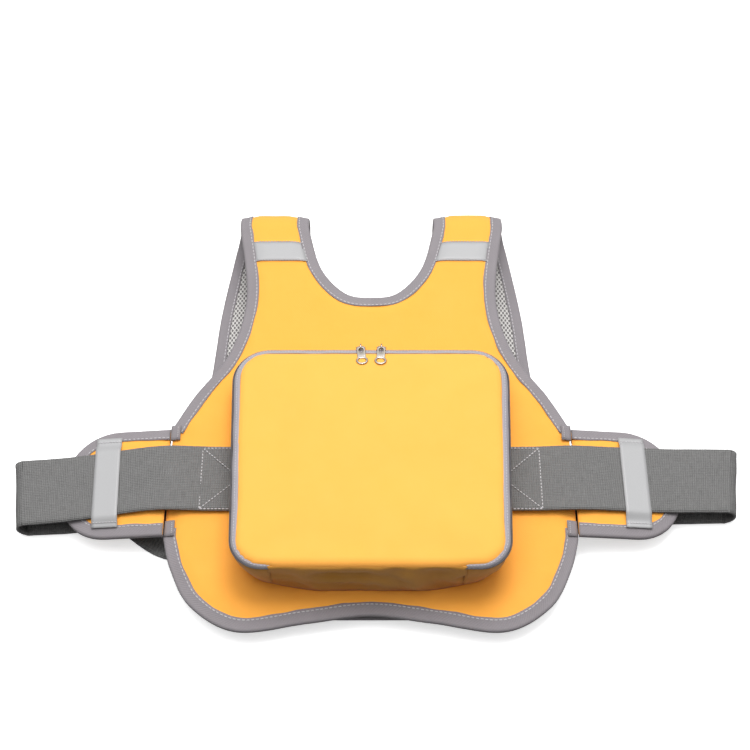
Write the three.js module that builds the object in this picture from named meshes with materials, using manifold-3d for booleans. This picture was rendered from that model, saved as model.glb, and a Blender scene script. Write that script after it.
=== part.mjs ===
// Inflatable life jacket, lying flat with its pocket up: padded front and back panels joined over
// two folded shoulders, a box pocket with a zipped lid over the bladder and its gas inflator,
// padded side wings, and wide elastic waist bands looped back under the wings.
// Millimetres, +Z up, +X to the wearer's left hand side of the sheet, +Y toward the neck.
import * as THREE from 'three';
import { mergeVertices } from 'three/addons/utils/BufferGeometryUtils.js';
import Module from 'manifold-3d';

const wasm = await Module();
wasm.setup();

// ---------------------------------------------------------------- driving dimensions
const GAP = 0.3;                  // clearance between touching pieces

// panels
const CHEST_HALF_WIDTH = 165;     // front panel, centre line to side edge
const HEM_Y = -198;               // lowest point of the front hem
const HEM_RISE = 13;              // how far the hem rises at the centre line
const SIDE_LENGTH = 96;           // straight side edge, from hem corner to armhole
const ARMHOLE_HALF_WIDTH = 107;   // centre line to the armhole at its narrowest
const SHOULDER_HALF_WIDTH = 116;  // centre line to the strap's outer edge at the fold
const NECK_HALF_WIDTH = 57;       // centre line to the strap's inner edge at the fold
const FRONT_NECK_Y = 99;          // lowest point of the front neck
const BACK_NECK_Y = 121;          // lowest point of the back neck
const BACK_HALF_WIDTH = 150;      // back panel, centre line to side edge
const BACK_HEM_RAISE = 16;        // back hem above the front one
const BACK_SPLAY = 20;            // how far the back straps lie outside the front ones
const PANEL_THICKNESS = 10;       // whole padded panel, bindings included
const FOLD_OUTER_RADIUS = 23.5;   // outside of the shoulder fold
const FOLD_Y = 174.5;             // centre of the shoulder fold
const HEM_AIR = 2;                // between the two panels at the hem

// layers inside a panel, measured from its inner face
const TAPE_THICKNESS = 1;
const LINING_THICKNESS = 1.2;
const OUTER_THICKNESS = 1.5;
const BINDING_WIDTH = 11;

// side wings
const WING_LENGTH = 84;
const WING_RAISE = 1;             // wing's upper edge above the top of the panel's side
const WING_MARGIN = 18.5;         // wing beyond each edge of the band
const WING_THICKNESS = 8;
const WING_TIP_DROP = 9;
const WING_CORNER = 24;
const WING_GAP = 1.5;             // between the front panel's edge and the wing

// elastic waist bands
const BAND_WIDTH = 58;
const BAND_THICKNESS = 1.6;
const BAND_BELOW_WING_TOP = 47;   // wing's upper edge down to the band's centre line
const BAND_START_X = 117;
const LOOP_OVERHANG = 45;         // loop end beyond the wing tip
const BAND_DRIFT = { left: -13, right: 1 };      // sideways drift of the band at its loop
const KEEPER_WIDTH = 21;
const KEEPER_FROM_ROOT = 49;      // wing root to the keeper's centre
const KEEPER_THICKNESS = 1.2;
const REFLECTOR_WIDTH = 20;
const REFLECTOR_Y = 146;
const REFLECTOR_THICKNESS = 0.6;

// box pocket
const POCKET_FROM_HEM = 29;       // front hem up to the pocket
const POCKET_LENGTH = 199;
const POCKET_TOP_HALF_WIDTH = 114;
const POCKET_BOTTOM_HALF_WIDTH = 107;
const POCKET_TOP_CORNER = 30;
const POCKET_BOTTOM_CORNER = 25;
const WALL_THICKNESS = 2;
const LID_THICKNESS = 4;
const LID_HINGE_Z = 70;           // underside of the lid at its hinge
const LID_FALL = 10;              // how much lower the lid's other end lies
const CREASE_LEFT_X = -77;        // the lid's hinge crease, between the ends of the zip
const CREASE_RIGHT_X = 72;
const ZIP_TAPE_HEIGHT = 5;
const CHAIN_GAP = 1.4;

// zip sliders and their pull tabs
const SLIDER_LENGTH = 9;
const SLIDER_HEIGHT = 9;
const SLIDER_CLEARANCE = 0.8;
const PLATE_THICKNESS = 2;
const SLIDER_HALF_SPACING = 8;
const TAB_LENGTH = 20;
const TAB_WIDTH = 11;
const TAB_THICKNESS = 1.6;
const PIN_RADIUS = 0.9;
const KNUCKLE_WIDTH = 4;

// what the pocket holds
const BLADDER = { halfWidth: 92, rise: 123, length: 66, thickness: 16 };  // rise above the pocket's edge
const CYLINDER_RADIUS = 14.5;
const CYLINDER_LENGTH = 112;
const CYLINDER_NECK_RADIUS = 5;
const CYLINDER_NECK_LENGTH = 12;
const INFLATOR = { x: 34, length: 42, width: 36, height: 30, rise: 49 };
const LEVER = { width: 12, length: 24, thickness: 3, pinRadius: 1.5 };
const TUBE = { x: -34, reach: 84, bend: 14, radius: 6, rise: 103 };
const CAP_RADIUS = 8;
const CAP_LENGTH = 10;

// places that follow from the sizes above
const CORNER_RISE = 76;           // hem's lowest point up to the straight side
const BACK_HEM_Y = HEM_Y + BACK_HEM_RAISE;
const HEM_TOP_Z = 2 * PANEL_THICKNESS + HEM_AIR;
const WING_TOP_Y = HEM_Y + CORNER_RISE + SIDE_LENGTH + WING_RAISE;
const WING_WIDTH = BAND_WIDTH + 2 * WING_MARGIN;
const BAND_CENTRE_Y = WING_TOP_Y - BAND_BELOW_WING_TOP;
const POCKET_BOTTOM_Y = HEM_Y + POCKET_FROM_HEM;
const BLADDER_BOTTOM_Y = POCKET_BOTTOM_Y + BLADDER.rise;
const BLADDER_TOP_Y = BLADDER_BOTTOM_Y + BLADDER.length;
const INFLATOR_Y = POCKET_BOTTOM_Y + INFLATOR.rise;
const TUBE_Y = POCKET_BOTTOM_Y + TUBE.rise;

// ---------------------------------------------------------------- colours
const YELLOW = [0xf5cf2a, 0.85, 0];
const LILAC = [0xaca8b0, 0.8, 0];
const CREAM = [0xd9d3c0, 0.9, 0];
const FOAM = [0xe8e6e0, 0.95, 0];
const ELASTIC = [0x84837f, 0.85, 0];
const REFLECTIVE = [0xc4c6c6, 0.45, 0.1];
const NICKEL = [0xb9b6ab, 0.3, 1];
const BLADDER_YELLOW = [0xe8b820, 0.7, 0];
const BLACK_PLASTIC = [0x1e2022, 0.5, 0];
const STEEL = [0xb0b3b5, 0.35, 1];
const LEVER_RED = [0xb3312a, 0.5, 0];

const jacket = new THREE.Group();

function material([color, roughness, metalness]) {
  return new THREE.MeshStandardMaterial({ color, roughness, metalness });
}

function add(name, geometry, finish, parent = jacket) {
  const mesh = new THREE.Mesh(geometry, material(finish));
  mesh.name = name;
  parent.add(mesh);
  return mesh;
}

// ---------------------------------------------------------------- solids made of six-sided cells
// A cell is [four corners, the same four one step on]. Faces that two cells share are left out,
// so the cells join into one closed skin.
const CELL_FACES = [[0, 3, 2, 1], [4, 5, 6, 7], [0, 1, 5, 4], [1, 2, 6, 5], [2, 3, 7, 6], [3, 0, 4, 7]];
const KEY_SCALE = 1000;

function solidOfCells(cells, place = (p) => p) {
  const points = [];
  const idOf = new Map();
  const corner = (p) => {
    const w = place(p);
    const key = w.map((v) => Math.round(v * KEY_SCALE)).join();
    if (!idOf.has(key)) {
      idOf.set(key, points.length / 3);
      points.push(...w);
    }
    return idOf.get(key);
  };
  const skin = new Map();
  for (const cell of cells) {
    const ids = cell.map(corner);
    for (const face of CELL_FACES) {
      const quad = face.map((i) => ids[i]);
      const key = [...quad].sort((a, b) => a - b).join();
      if (skin.has(key)) skin.delete(key);
      else skin.set(key, quad);
    }
  }
  const index = [];
  for (const [a, b, c, d] of skin.values()) index.push(a, b, c, a, c, d);
  return facingOut(points, index);
}

function facingOut(points, index) {
  const at = (i) => new THREE.Vector3().fromArray(points, 3 * i);
  let volume = 0;
  for (let i = 0; i < index.length; i += 3) {
    volume += at(index[i]).dot(at(index[i + 1]).cross(at(index[i + 2])));
  }
  if (volume < 0) {
    for (let i = 0; i < index.length; i += 3) [index[i], index[i + 1]] = [index[i + 1], index[i]];
  }
  const geometry = new THREE.BufferGeometry();
  geometry.setAttribute('position', new THREE.Float32BufferAttribute(points, 3));
  geometry.setIndex(index);
  return geometry;
}

// ---------------------------------------------------------------- cutting and joining
function toManifold(geometry) {
  let g = geometry.clone();
  g.deleteAttribute('normal');
  g.deleteAttribute('uv');
  g = mergeVertices(g);
  return new wasm.Manifold(new wasm.Mesh({
    numProp: 3,
    vertProperties: new Float32Array(g.attributes.position.array),
    triVerts: new Uint32Array(g.index.array),
  }));
}

function fromManifold(solid) {
  const mesh = solid.getMesh();
  const geometry = new THREE.BufferGeometry();
  geometry.setAttribute('position', new THREE.Float32BufferAttribute(mesh.vertProperties, 3));
  geometry.setIndex(new THREE.Uint32BufferAttribute(mesh.triVerts, 1));
  return geometry;
}

function joined(first, ...rest) {
  return fromManifold(rest.reduce((solid, g) => solid.add(toManifold(g)), toManifold(first)));
}

function cut(first, ...tools) {
  return fromManifold(tools.reduce((solid, g) => solid.subtract(toManifold(g)), toManifold(first)));
}

function box(x0, x1, y0, y1, z0, z1) {
  return new THREE.BoxGeometry(x1 - x0, y1 - y0, z1 - z0)
    .translate((x0 + x1) / 2, (y0 + y1) / 2, (z0 + z1) / 2);
}

function rodAlongX(radius, x0, x1, y, z, sides = 20) {
  return new THREE.CylinderGeometry(radius, radius, x1 - x0, sides)
    .rotateZ(Math.PI / 2).translate((x0 + x1) / 2, y, z);
}

// ---------------------------------------------------------------- where the panels lie
// A point of a panel is [x, s, t]: s runs up the panel to the shoulder's apex, t is its height in
// the panel's thickness, from the inner face at 0 to the outer face.
const FOLD_INNER_RADIUS = FOLD_OUTER_RADIUS - PANEL_THICKNESS;
const FOLD_MID_RADIUS = (FOLD_INNER_RADIUS + FOLD_OUTER_RADIUS) / 2;
const FOLD_TOP_Z = 2 * FOLD_OUTER_RADIUS;
const APEX_S = FOLD_Y + FOLD_MID_RADIUS * Math.PI / 2;

function frontTopZ(y) {
  return HEM_TOP_Z + (FOLD_TOP_Z - HEM_TOP_Z) * THREE.MathUtils.smoothstep(y, HEM_Y, FOLD_Y);
}

function overFold(x, angle, t) {
  const radius = FOLD_INNER_RADIUS + t;
  return [x, FOLD_Y + radius * Math.sin(angle), FOLD_OUTER_RADIUS + radius * Math.cos(angle)];
}

function onFront([x, s, t]) {
  if (s > FOLD_Y) return overFold(x, (s - FOLD_Y) / FOLD_MID_RADIUS, t);
  return [x, s, frontTopZ(s) - PANEL_THICKNESS + t];
}

function onBack([x, s, t]) {
  if (s > FOLD_Y) return overFold(x, Math.PI - (s - FOLD_Y) / FOLD_MID_RADIUS, t);
  return [x, s, PANEL_THICKNESS - t];
}

// ---------------------------------------------------------------- panel outlines
// Each half outline is three chains of [x, s]: the hem from the centre line to its corner, the
// outer edge from there to the apex, and the neck from its lowest point to the apex.
const FOLD_STEPS = 3;

function foldPoints(from, to) {
  const points = [];
  for (let i = 1; i <= FOLD_STEPS; i++) {
    const share = i / FOLD_STEPS;
    points.push([from + share * (to - from), FOLD_Y + (APEX_S - FOLD_Y) * share]);
  }
  return points;
}

function smooth(points, count) {
  const curve = new THREE.SplineCurve(points.map(([x, y]) => new THREE.Vector2(x, y)));
  return curve.getPoints(count).map((p) => [p.x, p.y]);
}

function halfOutline({ halfWidth, hemY, hemRise, neckY, armhole, strapEdge }) {
  const sideBottom = hemY + CORNER_RISE;
  const sideTop = sideBottom + SIDE_LENGTH;
  const bottom = smooth([[0, hemY + hemRise], [0.3 * halfWidth, hemY + 0.54 * hemRise],
    [0.63 * halfWidth, hemY], [0.85 * halfWidth, hemY + 20], [0.955 * halfWidth, hemY + 50],
    [halfWidth, sideBottom]], 8);
  const hem = bottom.slice(0, 4);
  const corner = bottom.slice(4);
  const side = [[halfWidth, (sideBottom + sideTop) / 2], [halfWidth - 1, sideTop]];
  const arm = smooth([[halfWidth - 1, sideTop], ...armhole(sideTop), [strapEdge, FOLD_Y]], 7)
    .slice(1);
  const neck = smooth([[0, neckY], [0.42 * NECK_HALF_WIDTH, neckY + 5],
    [0.8 * NECK_HALF_WIDTH, neckY + 0.42 * (FOLD_Y - neckY)], [NECK_HALF_WIDTH, FOLD_Y]], 5);
  return {
    hem,
    outer: [...corner, ...side, ...arm, ...foldPoints(strapEdge, SHOULDER_HALF_WIDTH)],
    neck: [...neck, ...foldPoints(NECK_HALF_WIDTH, NECK_HALF_WIDTH)],
    sideTopIndex: corner.length + side.length - 1,
    neckY,
  };
}

const FRONT = halfOutline({
  halfWidth: CHEST_HALF_WIDTH,
  hemY: HEM_Y,
  hemRise: HEM_RISE,
  neckY: FRONT_NECK_Y,
  armhole: (sideTop) => [
    [CHEST_HALF_WIDTH - 18, sideTop + 0.15 * (FOLD_Y - sideTop)],
    [ARMHOLE_HALF_WIDTH + 12, sideTop + 0.36 * (FOLD_Y - sideTop)],
    [ARMHOLE_HALF_WIDTH, sideTop + 0.633 * (FOLD_Y - sideTop)],
  ],
  strapEdge: SHOULDER_HALF_WIDTH,
});

const BACK = halfOutline({
  halfWidth: BACK_HALF_WIDTH,
  hemY: BACK_HEM_Y,
  hemRise: 0,
  neckY: BACK_NECK_Y,
  armhole: (sideTop) => [
    [SHOULDER_HALF_WIDTH + 1.1 * BACK_SPLAY, sideTop + 0.244 * (FOLD_Y - sideTop)],
    [SHOULDER_HALF_WIDTH + 0.8 * BACK_SPLAY, sideTop + 0.623 * (FOLD_Y - sideTop)],
  ],
  strapEdge: SHOULDER_HALF_WIDTH + 0.3 * BACK_SPLAY,
});

// A chain moved inward by a distance; ahead and behind give the neighbours of its ends.
function inset(chain, distance, before, after) {
  const line = [before, ...chain, after];
  return chain.map(([x, s], i) => {
    const a = new THREE.Vector2(x - line[i][0], s - line[i][1]);
    const b = new THREE.Vector2(line[i + 2][0] - x, line[i + 2][1] - s);
    const along = a.length() > 0 && b.length() > 0
      ? a.normalize().add(b.normalize()).normalize() : a.add(b).normalize();
    const half = b.length() > 0 ? Math.max(Math.abs(along.dot(b)), 0.5) : 1;
    return [x - along.y * distance / half, s + along.x * distance / half];
  });
}

const flipX = ([x, s]) => [-x, s];
const APEX_BEYOND = 1;

function insetOutline({ hem, outer, neck }, distance) {
  const edge = [...hem, ...outer];
  const end = edge.at(-1);
  const moved = inset(edge, distance, flipX(edge[1]), [end[0], end[1] + APEX_BEYOND]);
  const top = neck.at(-1);
  const movedNeck = inset(neck, -distance, flipX(neck[1]), [top[0], top[1] + APEX_BEYOND]);
  moved[0][0] = 0;
  movedNeck[0][0] = 0;
  // In the fold the edge moves straight sideways, so that every layer bends at the same rows.
  edge.forEach(([x, s], i) => { if (s >= FOLD_Y) moved[i] = [x - distance, s]; });
  neck.forEach(([x, s], i) => { if (s >= FOLD_Y) movedNeck[i] = [x + distance, s]; });
  return { hem: moved.slice(0, hem.length), outer: moved.slice(hem.length), neck: movedNeck };
}

// ---------------------------------------------------------------- panel layers
// Rows run from the centre line or the neck to the outer edge. Below the neck, each outer point
// has a partner on the centre line; above it, one on the neck.
function pointAt(chain, s) {
  const next = chain.findIndex(([, v]) => v >= s);
  if (next <= 0) return chain[Math.max(next, 0)];
  const [a, b] = [chain[next - 1], chain[next]];
  const f = (s - a[1]) / (b[1] - a[1]);
  return [a[0] + f * (b[0] - a[0]), s];
}

const APEX_GAP = 0.4;
const ROW_SPACING_MIN = 1;
const SAME_ROW = 0.01;

function panelRows(outline, distance) {
  const { hem, outer, neck } = insetOutline(outline, distance);
  const lift = (p) => [p[0], Math.min(p[1], APEX_S - APEX_GAP)];
  const columns = hem.length - 1;
  const row = (a, b) => Array.from({ length: columns + 1 },
    (_, i) => [a[0] + (b[0] - a[0]) * i / columns, a[1] + (b[1] - a[1]) * i / columns]);
  const rows = [hem];
  const neckBottom = neck[0][1];
  const below = outer.filter((p) => p[1] < neckBottom - ROW_SPACING_MIN);
  below.forEach((p) => {
    const share = (p[1] - hem.at(-1)[1]) / (neckBottom - hem.at(-1)[1]);
    rows.push(row([0, hem[0][1] + share * (neckBottom - hem[0][1])], p));
  });
  const heights = [...neck, ...outer.filter((p) => p[1] > neckBottom + ROW_SPACING_MIN)]
    .map((p) => p[1]).sort((a, b) => a - b)
    .filter((s, i, all) => i === 0 || s - all[i - 1] > SAME_ROW);
  heights.forEach((s) => rows.push(row(lift(pointAt(neck, s)), lift(pointAt(outer, s)))));
  return rows;
}

function panelCells(outline, distance, t0, t1) {
  const rows = panelRows(outline, distance);
  const cells = [];
  for (const side of [1, -1]) {
    for (let r = 0; r + 1 < rows.length; r++) {
      for (let c = 0; c + 1 < rows[r].length; c++) {
        const base = [rows[r][c], rows[r][c + 1], rows[r + 1][c + 1], rows[r + 1][c]];
        const ring = side > 0 ? base : [base[1], base[0], base[3], base[2]];
        cells.push([...ring.map(([x, s]) => [side * x, s, t0]), ...ring.map(([x, s]) => [side * x, s, t1])]);
      }
    }
  }
  return cells;
}

const LAYER_INSET = TAPE_THICKNESS + GAP;
const LINING = [LAYER_INSET, LAYER_INSET + LINING_THICKNESS];
const OUTER = [PANEL_THICKNESS - LAYER_INSET - OUTER_THICKNESS, PANEL_THICKNESS - LAYER_INSET];
const PADDING = [LINING[1] + GAP, OUTER[0] - GAP];

for (const [side, outline, place] of [['front', FRONT, onFront], ['back', BACK, onBack]]) {
  add(`${side}_outer_fabric`, solidOfCells(panelCells(outline, LAYER_INSET, ...OUTER), place), YELLOW);
  add(`${side}_foam`, solidOfCells(panelCells(outline, LAYER_INSET, ...PADDING), place), FOAM);
  add(`${side}_mesh_lining`, solidOfCells(panelCells(outline, LAYER_INSET, ...LINING), place), CREAM);
}

// ---------------------------------------------------------------- bindings
// Binding tape folded over an edge: an outer leg, a web round the edge and an inner leg.
function bindingCells(outside, inside, web, thickness, place) {
  const legs = [
    [outside, inside, 0, TAPE_THICKNESS],
    [outside, web, TAPE_THICKNESS, thickness - TAPE_THICKNESS],
    [outside, inside, thickness - TAPE_THICKNESS, thickness],
  ];
  const cells = [];
  for (let i = 0; i + 1 < outside.length; i++) {
    for (const [outer, inner, t0, t1] of legs) {
      const split = inner === inside ? [[outer, web], [web, inner]] : [[outer, web]];
      for (const [near, far] of split) {
        const at = (chain, k, t) => place([...chain[k], t]);
        cells.push([at(near, i, t0), at(far, i, t0), at(far, i, t1), at(near, i, t1),
          at(near, i + 1, t0), at(far, i + 1, t0), at(far, i + 1, t1), at(near, i + 1, t1)]);
      }
    }
  }
  return cells;
}

function chains(outline, pick, side = 1) {
  return [0, BINDING_WIDTH, TAPE_THICKNESS].map((distance) =>
    pick(insetOutline(outline, distance)).map(([x, s]) => [side * x, s]));
}

function bindingAlong(outline, pick, place, side = 1) {
  const [outside, inside, web] = chains(outline, pick, side);
  return bindingCells(outside, inside, web, PANEL_THICKNESS, place);
}

const neckCells = [];
for (const [outline, place] of [[FRONT, onFront], [BACK, onBack]]) {
  for (const side of [1, -1]) neckCells.push(bindingAlong(outline, (o) => o.neck, place, side));
}
// The two halves and the two panels are mirror images, so every other strip is turned round.
const turned = (cells) => cells.map((c) => [...c.slice(4), ...c.slice(0, 4)]);
add('neck_binding', solidOfCells(
  [...neckCells[0], ...turned(neckCells[1]), ...turned(neckCells[2]), ...neckCells[3]]), LILAC);

for (const [name, side] of [['left', -1], ['right', 1]]) {
  const armOf = (outline) => (o) => o.outer.slice(outline.sideTopIndex);
  const front = bindingAlong(FRONT, armOf(FRONT), onFront, side);
  const back = bindingAlong(BACK, armOf(BACK), onBack, side);
  add(`armhole_binding_${name}`, solidOfCells([...front, ...turned(back)]), LILAC);
}

const CORNER_GAP = 0.6;
for (const [name, outline, place] of [['front', FRONT, onFront], ['back', BACK, onBack]]) {
  const edge = (o) => {
    const line = [...o.hem, ...o.outer.slice(0, outline.sideTopIndex + 1)];
    const last = line.at(-1);
    line[line.length - 1] = [last[0], last[1] - CORNER_GAP];
    return line;
  };
  const right = bindingAlong(outline, edge, place, 1);
  const left = bindingAlong(outline, edge, place, -1);
  add(`side_hem_binding_${name}`, solidOfCells([...right, ...turned(left)]), LILAC);
}

// ---------------------------------------------------------------- shoulder reflectors
const REFLECTOR_BASE = OUTER[1] + GAP;
const besideBinding = insetOutline(FRONT, BINDING_WIDTH + GAP);

for (const [name, side] of [['left', -1], ['right', 1]]) {
  const rows = [-0.5, 0, 0.5].map((share) => REFLECTOR_Y + share * REFLECTOR_WIDTH);
  const across = (s) => [pointAt(besideBinding.neck, s), pointAt(besideBinding.outer, s)];
  const cells = [];
  for (let i = 0; i + 1 < rows.length; i++) {
    const ring = [...across(rows[i]), ...across(rows[i + 1]).reverse()];
    const level = (t) => ring.map(([x, s]) => onFront([side * x, s, t]));
    cells.push([...level(REFLECTOR_BASE), ...level(REFLECTOR_BASE + REFLECTOR_THICKNESS)]);
  }
  add(`shoulder_reflector_${name}`, solidOfCells(cells), REFLECTIVE);
}

// ---------------------------------------------------------------- side wings
// A wing is a flat pad; u runs outward from its root, and it falls evenly towards its tip.
const WING_ROOT_X = CHEST_HALF_WIDTH + WING_GAP;
const WING_BOTTOM_Y = WING_TOP_Y - WING_WIDTH;
const CORNER_STEPS = 3;
const SIDES = [['left', -1], ['right', 1]];

function wingTopZ(u) {
  return frontTopZ(BAND_CENTRE_Y) - WING_TIP_DROP * u / WING_LENGTH;
}

function onWing([u, y, t]) {
  return [WING_ROOT_X + u, y, wingTopZ(u) - WING_THICKNESS + t];
}

function mirrored(side, place = (p) => p) {
  return (p) => {
    const [x, y, z] = place(p);
    return [side * x, y, z];
  };
}

// Stations of the wing's outline, moved inward by a distance: [u, low y, high y].
function wingStations(distance) {
  const radius = WING_CORNER - distance;
  const stations = [[0, WING_BOTTOM_Y + distance, WING_TOP_Y - distance]];
  for (let i = 0; i <= CORNER_STEPS; i++) {
    const angle = Math.PI / 2 * i / CORNER_STEPS;
    const drop = WING_CORNER - radius * Math.cos(angle);
    stations.push([WING_LENGTH - WING_CORNER + radius * Math.sin(angle),
      WING_BOTTOM_Y + drop, WING_TOP_Y - drop]);
  }
  return stations;
}

function wingCells(t0, t1) {
  const stations = wingStations(LAYER_INSET);
  const cells = [];
  for (let i = 0; i + 1 < stations.length; i++) {
    const ring = ([u, low, high]) => [[u, low, t0], [u, high, t0], [u, high, t1], [u, low, t1]];
    cells.push([...ring(stations[i]), ...ring(stations[i + 1])]);
  }
  return cells;
}

function wingEdge(distance) {
  const stations = wingStations(distance);
  return [...stations.map(([u, low]) => [u, low]), ...stations.map(([u, , high]) => [u, high]).reverse()];
}

const WING_OUTER = [WING_THICKNESS - LAYER_INSET - OUTER_THICKNESS, WING_THICKNESS - LAYER_INSET];

for (const [name, side] of SIDES) {
  const place = mirrored(side, onWing);
  add(`wing_outer_fabric_${name}`, solidOfCells(wingCells(...WING_OUTER), place), YELLOW);
  add(`wing_foam_${name}`, solidOfCells(wingCells(PADDING[0], WING_OUTER[0] - GAP), place), FOAM);
  add(`wing_lining_${name}`, solidOfCells(wingCells(...LINING), place), CREAM);
  const tape = bindingCells(wingEdge(0), wingEdge(BINDING_WIDTH), wingEdge(TAPE_THICKNESS),
    WING_THICKNESS, (p) => p);
  add(`wing_binding_${name}`, solidOfCells(tape, place), LILAC);
}

// ---------------------------------------------------------------- elastic waist bands
// A ribbon follows stations [x, centre y, z, z rise per mm of y], its thickness across the path.
function ribbonCells(stations, width, thickness) {
  const sections = stations.map(([x, y, z, tilt = 0], i) => {
    const before = stations[Math.max(i - 1, 0)];
    const after = stations[Math.min(i + 1, stations.length - 1)];
    const along = new THREE.Vector2(after[0] - before[0], after[2] - before[2]).normalize();
    const [nx, nz] = [-along.y * thickness / 2, along.x * thickness / 2];
    const corner = (sign, end) =>
      [x + sign * nx, y + end * width / 2, z + sign * nz + tilt * end * width / 2];
    return [corner(-1, -1), corner(1, -1), corner(1, 1), corner(-1, 1)];
  });
  return sections.slice(1).map((section, i) => [...sections[i], ...section]);
}

const BAND_CLEARANCE = 0.5;
const BAND_ARCH = 2;              // how high the band stands over the wing's root
const ROOT_MARGIN = 2.2;          // band ends beside the wing's hinge line
const LOOP_TOP_Z = 22.4;
const LOOP_BOTTOM_Z = 1.3;
const LOOP_STEPS = 5;
const UNDER_SPLIT = 40;           // wing root to the join in the under layer
const UNDER_JOIN_GAP = 2;
const UNDER_DRIFT = -25;          // sideways drift of the under layer at the back panel

const bandBase = BAND_CLEARANCE + BAND_THICKNESS / 2;
const chestSlope = (frontTopZ(BAND_CENTRE_Y + BAND_WIDTH / 2) - frontTopZ(BAND_CENTRE_Y - BAND_WIDTH / 2))
  / BAND_WIDTH;
const rootZ = frontTopZ(BAND_CENTRE_Y) + bandBase + BAND_ARCH;
const keeperBandZ = wingTopZ(KEEPER_FROM_ROOT) + bandBase;

function bandStations(name) {
  const end = WING_LENGTH + LOOP_OVERHANG;
  const centreY = (u) => BAND_CENTRE_Y + BAND_DRIFT[name] * Math.max(u, 0) / end;
  const at = (u, z) => [WING_ROOT_X + u, centreY(u), z];
  const radius = (LOOP_TOP_Z - LOOP_BOTTOM_Z) / 2;
  const loop = [];
  for (let i = 0; i <= LOOP_STEPS; i++) {
    const angle = Math.PI * i / LOOP_STEPS;
    loop.push(at(end - radius + radius * Math.sin(angle), LOOP_BOTTOM_Z + radius * (1 + Math.cos(angle))));
  }
  const seatZ = frontTopZ(BAND_CENTRE_Y) + bandBase;
  const split = WING_ROOT_X + UNDER_SPLIT;
  const backEdge = BACK_HALF_WIDTH + GAP * 2;
  const underY = (x) => centreY(end) + (UNDER_DRIFT - BAND_DRIFT[name])
    * (WING_ROOT_X + end - x) / (WING_ROOT_X + end - backEdge);
  return {
    inner: [[BAND_START_X, BAND_CENTRE_Y, seatZ, chestSlope],
      [CHEST_HALF_WIDTH - 2 * BINDING_WIDTH, BAND_CENTRE_Y, seatZ, chestSlope],
      [CHEST_HALF_WIDTH - BINDING_WIDTH, BAND_CENTRE_Y, rootZ - BAND_ARCH / 4, chestSlope],
      [CHEST_HALF_WIDTH - ROOT_MARGIN / 2, BAND_CENTRE_Y, rootZ, chestSlope]],
    outer: [[...at(ROOT_MARGIN, rootZ), chestSlope],
      [...at(KEEPER_FROM_ROOT / 3, (rootZ + keeperBandZ + 1) / 2), chestSlope / 2],
      at(KEEPER_FROM_ROOT - KEEPER_WIDTH / 2, wingTopZ(KEEPER_FROM_ROOT - KEEPER_WIDTH / 2) + bandBase),
      at(KEEPER_FROM_ROOT + KEEPER_WIDTH / 2, wingTopZ(KEEPER_FROM_ROOT + KEEPER_WIDTH / 2) + bandBase),
      at(WING_LENGTH, wingTopZ(WING_LENGTH) + bandBase + BAND_CLEARANCE), ...loop,
      [split, underY(split), LOOP_BOTTOM_Z]],
    under: [[split - UNDER_JOIN_GAP, underY(split - UNDER_JOIN_GAP), LOOP_BOTTOM_Z],
      [backEdge, underY(backEdge), LOOP_BOTTOM_Z]],
    keeperY: centreY(KEEPER_FROM_ROOT),
  };
}

const KEEPER_FOOT = 6;
const KEEPER_SLACK = 1.2;

function keeperCells(centreY) {
  const half = BAND_WIDTH / 2 + KEEPER_SLACK;
  const shape = [[-half - 2 - KEEPER_FOOT, 0], [-half - 2, 0], [-half, 1], [half, 1], [half + 2, 0],
    [half + 2 + KEEPER_FOOT, 0]];
  const low = GAP;
  const high = 2 * BAND_CLEARANCE + BAND_THICKNESS;
  const section = (u) => shape.map(([v, raised]) => {
    const z = wingTopZ(u) + (raised ? high : low);
    const point = (dz) => [WING_ROOT_X + u, centreY + v, z + dz];
    return [point(0), point(KEEPER_THICKNESS)];
  });
  const [near, far] = [-0.5, 0.5].map((share) => section(KEEPER_FROM_ROOT + share * KEEPER_WIDTH));
  return near.slice(1).map((_, i) => [near[i][0], near[i][1], near[i + 1][1], near[i + 1][0],
    far[i][0], far[i][1], far[i + 1][1], far[i + 1][0]]);
}

for (const [name, side] of SIDES) {
  const { inner, outer, under, keeperY } = bandStations(name);
  const flip = mirrored(side);
  const ribbon = (stations) => solidOfCells(ribbonCells(stations, BAND_WIDTH, BAND_THICKNESS), flip);
  add(`waist_band_front_${name}`, ribbon(inner), ELASTIC);
  add(`waist_band_loop_${name}`, ribbon(outer), ELASTIC);
  add(`waist_band_back_${name}`, ribbon(under), ELASTIC);
  add(`band_keeper_${name}`, solidOfCells(keeperCells(keeperY), flip), REFLECTIVE);
}

// ---------------------------------------------------------------- pocket walls, zip and lid
const POCKET_TOP_Y = POCKET_BOTTOM_Y + POCKET_LENGTH;
const SEAT = 0.7;                 // wall foot above the front fabric
const SIDE_STEPS = 4;
const ARC_STEPS = 4;
const lidSlope = -LID_FALL / POCKET_LENGTH;

function rimZ(y) {
  return LID_HINGE_Z + lidSlope * (y - POCKET_BOTTOM_Y);
}

function fabricTopZ(y) {
  return frontTopZ(y) - PANEL_THICKNESS + OUTER[1];
}

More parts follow.
